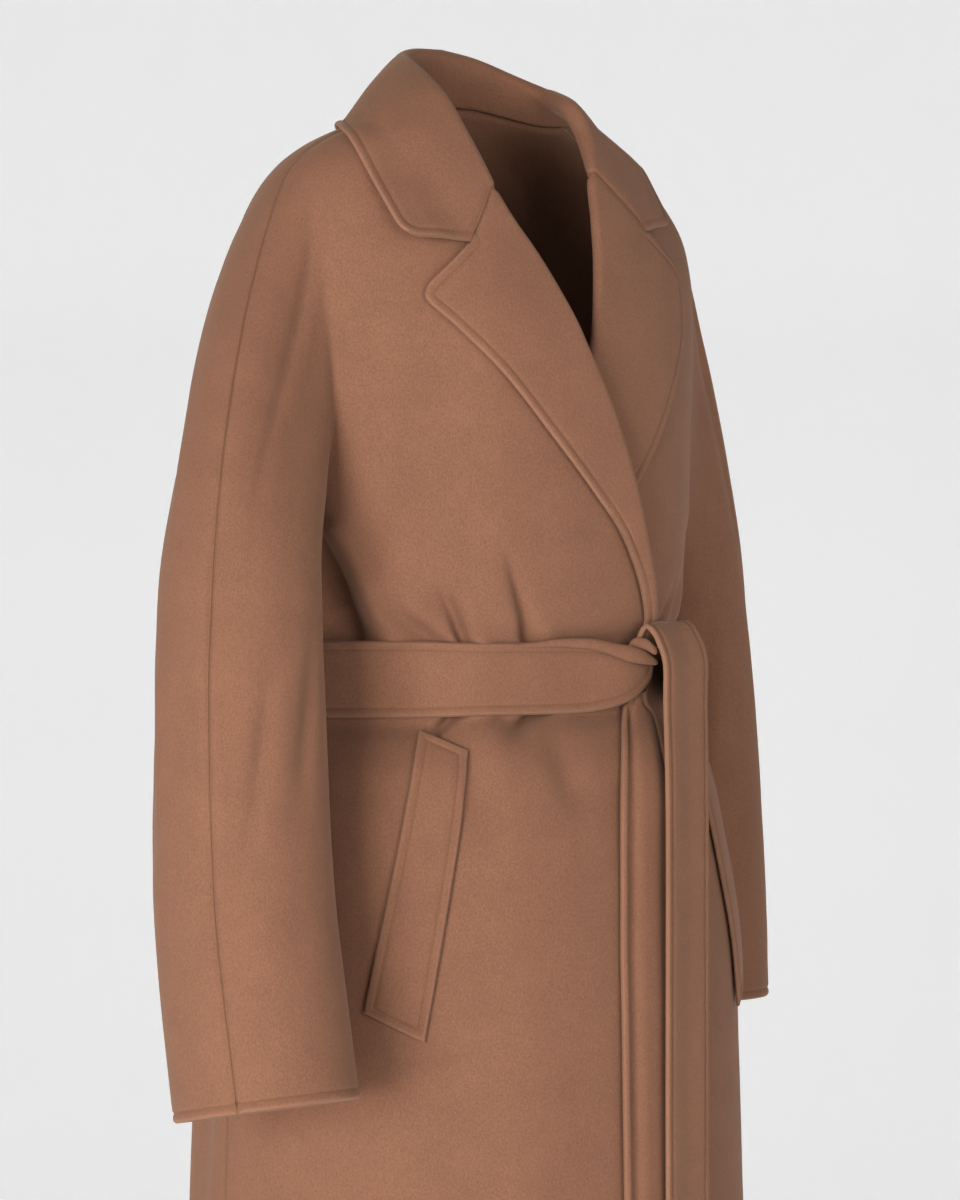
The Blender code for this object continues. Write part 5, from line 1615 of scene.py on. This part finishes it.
@dataclass(frozen=True)
class BrushedWool:
    """Double-faced wool, woven, felted and brushed: a short matt nap that hides the weave, with lighter and
    darker fibres mixed and a soft bloom at grazing angles. A painted highlight lightens its free edges, and
    painted shade darkens its stitched lines and seams."""

    name: str = "camel_brushed_wool"
    body: str = "#6A4734"
    dark: str = "#5F3F2E"
    light: str = "#764F3B"
    # painted highlight: the fuzzy nap along the free edges, lighter where it catches light
    rim: str = "#866049"
    sewn: str = "#54371F"         # painted shade in the grooves of the stitched lines and the seams
    fibre_mm: float = 1.3         # real nap fibres are under 1 mm; drawn as coarse as shows
    cloud_mm: float = 28.0        # how far apart the nap's lighter and darker patches lie
    fibre_stretch: float = 0.75   # the nap is brushed downwards
    nap_depth: float = 0.0003
    sheen: float = 0.16           # light caught by the fibres' tips at grazing angles
    sheen_tint: str = "#D8B79C"
    rim_highlight_width: float = 0.0030     # the rim's painted highlight, the fuzzy nap catching light, fades out over this width from the free edges
    rim_highlight_share: float = 0.35
    sewn_in: float = 0.0064       # metres in from the edge, as the stitched line lies
    sewn_half_width: float = 0.0006
    seam_width: float = 0.0016
    groove_shade_share: float = 0.35

    def material(self) -> bpy.types.Material:
        """Builds the material.

        Returns:
            The material.
        """
        made, tree = new_material(self.name)
        place = add_node(tree, "TexCoord").outputs["Object"]
        brushed = add_node(tree, "Mapping", {"Vector": place, "Scale": (1.0, 1.0, self.fibre_stretch)})
        fibre = add_node(tree, "TexNoise", {
            "Vector": brushed, "Scale": 1000 / self.fibre_mm, "Detail": 4.0, "Roughness": 0.72})
        mixed = add_node(tree, "ValToRGB", {"Fac": fibre})
        ramp = mixed.color_ramp
        ramp.elements[0].position, ramp.elements[0].color = 0.28, linear(self.dark)
        ramp.elements[1].position, ramp.elements[1].color = 0.74, linear(self.light)
        ramp.elements.new(0.50).color = linear(self.body)
        cloud = add_node(tree, "TexNoise", {
            "Vector": place, "Scale": 1000 / self.cloud_mm, "Detail": 3.0, "Roughness": 0.55})
        patch = add_node(tree, "MapRange", {
            "Value": cloud, "From Min": 0.3, "From Max": 0.7, "To Min": 0.95, "To Max": 1.05})
        toned = add_node(tree, "VectorMath", {0: mixed, "Scale": patch}, operation="SCALE")
        # a painted highlight lightens the cloth towards its free edges, where the fuzzy nap catches light
        edge = add_node(tree, "Attribute", attribute_name="edge_gap").outputs["Fac"]
        highlit_rim = add_node(tree, "MapRange", {
            "Value": edge, "From Min": 0.0, "From Max": self.rim_highlight_width, "To Min": self.rim_highlight_share,
            "To Max": 0.0}, clamp=True)
        rim_highlighted = add_node(tree, "Mix", {0: highlit_rim, 6: toned, 7: linear(self.rim)}, data_type="RGBA")
        # painted shade: the colour darkens in the stitched line and in the seams' valleys
        stitched = add_node(tree, "Math", {
            0: edge, 1: self.sewn_in, 2: self.sewn_half_width}, operation="COMPARE")
        seam = add_node(tree, "Attribute", attribute_name="seam_gap").outputs["Fac"]
        seam_shade = add_node(tree, "MapRange", {
            "Value": seam, "From Min": 0.0, "From Max": self.seam_width, "To Min": 1.0,
            "To Max": 0.0}, clamp=True)
        either = add_node(tree, "Math", {0: stitched, 1: seam_shade}, operation="MAXIMUM")
        share = add_node(tree, "Math", {0: either, 1: self.groove_shade_share}, operation="MULTIPLY")
        groove_shaded = add_node(tree, "Mix", {0: share, 6: rim_highlighted.outputs[2], 7: linear(self.sewn)},
                            data_type="RGBA")
        nap = add_node(tree, "TexNoise", {
            "Vector": brushed, "Scale": 1000 / (self.fibre_mm * self.fibre_stretch), "Detail": 5.0,
            "Roughness": 0.7})
        bump = add_node(tree, "Bump", {"Height": nap, "Strength": 0.55, "Distance": self.nap_depth})
        shader = add_node(tree, "BsdfPrincipled", {
            "Base Color": groove_shaded.outputs[2], "Roughness": 0.92, "IOR": 1.54, "Specular IOR Level": 0.25,
            "Sheen Weight": self.sheen, "Sheen Roughness": 0.45, "Sheen Tint": linear(self.sheen_tint),
            "Normal": bump})
        add_node(tree, "OutputMaterial", {"Surface": shader})
        return made


@dataclass(frozen=True)
class StudioPaper:
    """Plain matt backdrop paper, which gives a pale ground; it glows, painted light in place of lamps of its
    own.
    """

    name: str = "backdrop_paper"
    colour: str = "#E6E6E6"
    glow_low: float = 0.38        # painted light: it glows in place of lamps of its own, stronger near the floor
    glow_high: float = 0.225
    low: float = -1.6             # heights between which that light fades
    high: float = 0.4

    def material(self) -> bpy.types.Material:
        """Builds the material.

        Returns:
            The material.
        """
        made, tree = new_material(self.name)
        place = add_node(tree, "TexCoord").outputs["Object"]
        height = add_node(tree, "SeparateXYZ", {0: place}).outputs["Z"]
        glow = add_node(tree, "MapRange", {
            "Value": height, "From Min": self.low, "From Max": self.high, "To Min": self.glow_low,
            "To Max": self.glow_high}, clamp=True)
        shader = add_node(tree, "BsdfPrincipled", {
            "Base Color": linear(self.colour), "Roughness": 0.95, "Emission Color": linear("#FFFFFF"),
            "Emission Strength": glow})
        add_node(tree, "OutputMaterial", {"Surface": shader})
        return made


@dataclass
class Studio:
    """The camera, a pale floor that curves up behind, and soft lights."""

    azimuth: float = -40          # degrees round from the coat's front, to the wearer's right
    distance: float = 2.3
    height: float = -0.358
    picture_px: float = 960       # the picture's width
    focal_px: float = 3150        # focal length, in its pixels
    centre_px: float = 465        # where the optical axis lies across it
    floor: float = -1.56
    aim: tuple[float, float, float] = (0, 0, -0.4)    # what the lights face
    around: int = 96              # steps round the floor

    def camera(self) -> None:
        """Stands the camera level, at the height of the waist."""
        angle = math.radians(self.azimuth)
        away = Vector((math.sin(angle), -math.cos(angle), 0))
        data = bpy.data.cameras.new("camera")
        data.sensor_fit, data.sensor_width = "HORIZONTAL", 36
        data.lens = self.focal_px / self.picture_px * data.sensor_width
        data.shift_x = (self.picture_px / 2 - self.centre_px) / self.picture_px
        made = put("camera", data)
        made.location = away * self.distance + Vector((0, 0, self.height))
        made.rotation_euler = (-away).to_track_quat("-Z", "Y").to_euler()
        bpy.context.scene.camera = made

    def ground(self) -> None:
        """A floor all round, which curves up into a wall far behind."""
        radius = np.array([0.0, 1.5, 3.0, 4.8, 6.0, 6.8, 7.3, 7.5, 7.5, 7.5])
        rise = np.array([0.0, 0.0, 0.0, 0.08, 0.35, 0.8, 1.5, 2.3, 4.2, 8.5])
        n = self.around
        around = np.radians(np.linspace(0, 360, n + 1)[:-1])
        points = [(r * math.cos(a), r * math.sin(a), self.floor + z)
                  for r, z in zip(radius, rise) for a in around]
        faces = [(i * n + j, i * n + (j + 1) % n, (i + 1) * n + (j + 1) % n, (i + 1) * n + j)
                 for i in range(len(radius) - 1) for j in range(n)]
        mesh = bpy.data.meshes.new("studio_floor")
        mesh.from_pydata(points, [], faces)
        mesh.shade_smooth()
        made = put("studio_floor", mesh)
        made.data.materials.append(StudioPaper().material())

    def light(self, name: str, place: tuple[float, float, float], size: float, power_w: float) -> None:
        """One soft square light that faces the coat.

        Args:
            name: The light's name.
            place: Where it stands.
            size: Its side in metres.
            power_w: Its power in watts.
        """
        data = bpy.data.lights.new(name, "AREA")
        data.energy, data.size = power_w, size
        made = put(name, data)
        made.location = place
        made.rotation_euler = (Vector(self.aim) - Vector(place)).to_track_quat("-Z", "Y").to_euler()

    def build(self) -> None:
        """Sets up the whole studio."""
        self.camera()
        self.ground()
        self.light("key_light", (-3.40, -1.62, -0.4), 1.5, 182)
        self.light("front_light", (-0.8, -3.5, -0.3), 1.8, 50)
        world = bpy.data.worlds.new("soft_room")
        world.use_nodes = True
        world.node_tree.nodes["Background"].inputs["Color"].default_value = linear("#FFFFFF")
        world.node_tree.nodes["Background"].inputs["Strength"].default_value = 0.02
        bpy.context.scene.world = world
        bpy.context.scene.view_settings.view_transform = "Standard"


def main() -> None:
    """Builds the coat piece by piece, then the studio."""
    logging.basicConfig(level=logging.INFO, format="%(name)s: %(message)s")
    form, calm_form = CoatForm(), CoatForm(folds=FOLDS)
    fronts = {side: Front(side, form) for side in Side}
    back = Back(form)
    sleeves = {side: Sleeve(side, form, fronts[side], back) for side in Side}
    tailor = Tailor()

    body = back.sheets() + [sheet for front in fronts.values() for sheet in front.sheets()]
    body += [sheet for sleeve in sleeves.values() for sheet in sleeve.sheets()]
    tailor.sew(body, [half[0][::2] for sleeve in sleeves.values() for half in sleeve.armhole()])
    LOG.info("body and sleeves sewn")
    for part in (Collar(form, fronts, back), *(PocketWelt(side, calm_form) for side in Side),
                 BeltBand(calm_form), BeltEnd("belt_end_front", END_FRONT, FRONT_PROFILE),
                 BeltEnd("belt_end_under", END_UNDER, UNDER_PROFILE)):
        tailor.sew(part.sheets())
        LOG.info("%s sewn", type(part).__name__)
    knot_points, knot_faces = BeltKnot().mesh()
    tailor.add("belt_knot_cloth", knot_points, knot_faces,
               {"edge_gap": np.ones(len(knot_points)), "seam_gap": np.ones(len(knot_points))})
    LOG.info("belt tied")

    wool = BrushedWool().material()
    for piece in PIECES:
        made = tailor.made[piece.name]
        made.data.materials.append(wool)
        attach(made, "root")
        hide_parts(*piece.parts)
        LOG.info("%s: %d faces", piece.name, len(made.data.polygons))
    knot = tailor.made["belt_knot_cloth"]
    knot.data.materials.append(wool)
    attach(knot, "root")
    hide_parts("belt_knot")
    Studio().build()


if __name__ == "__main__":
    main()
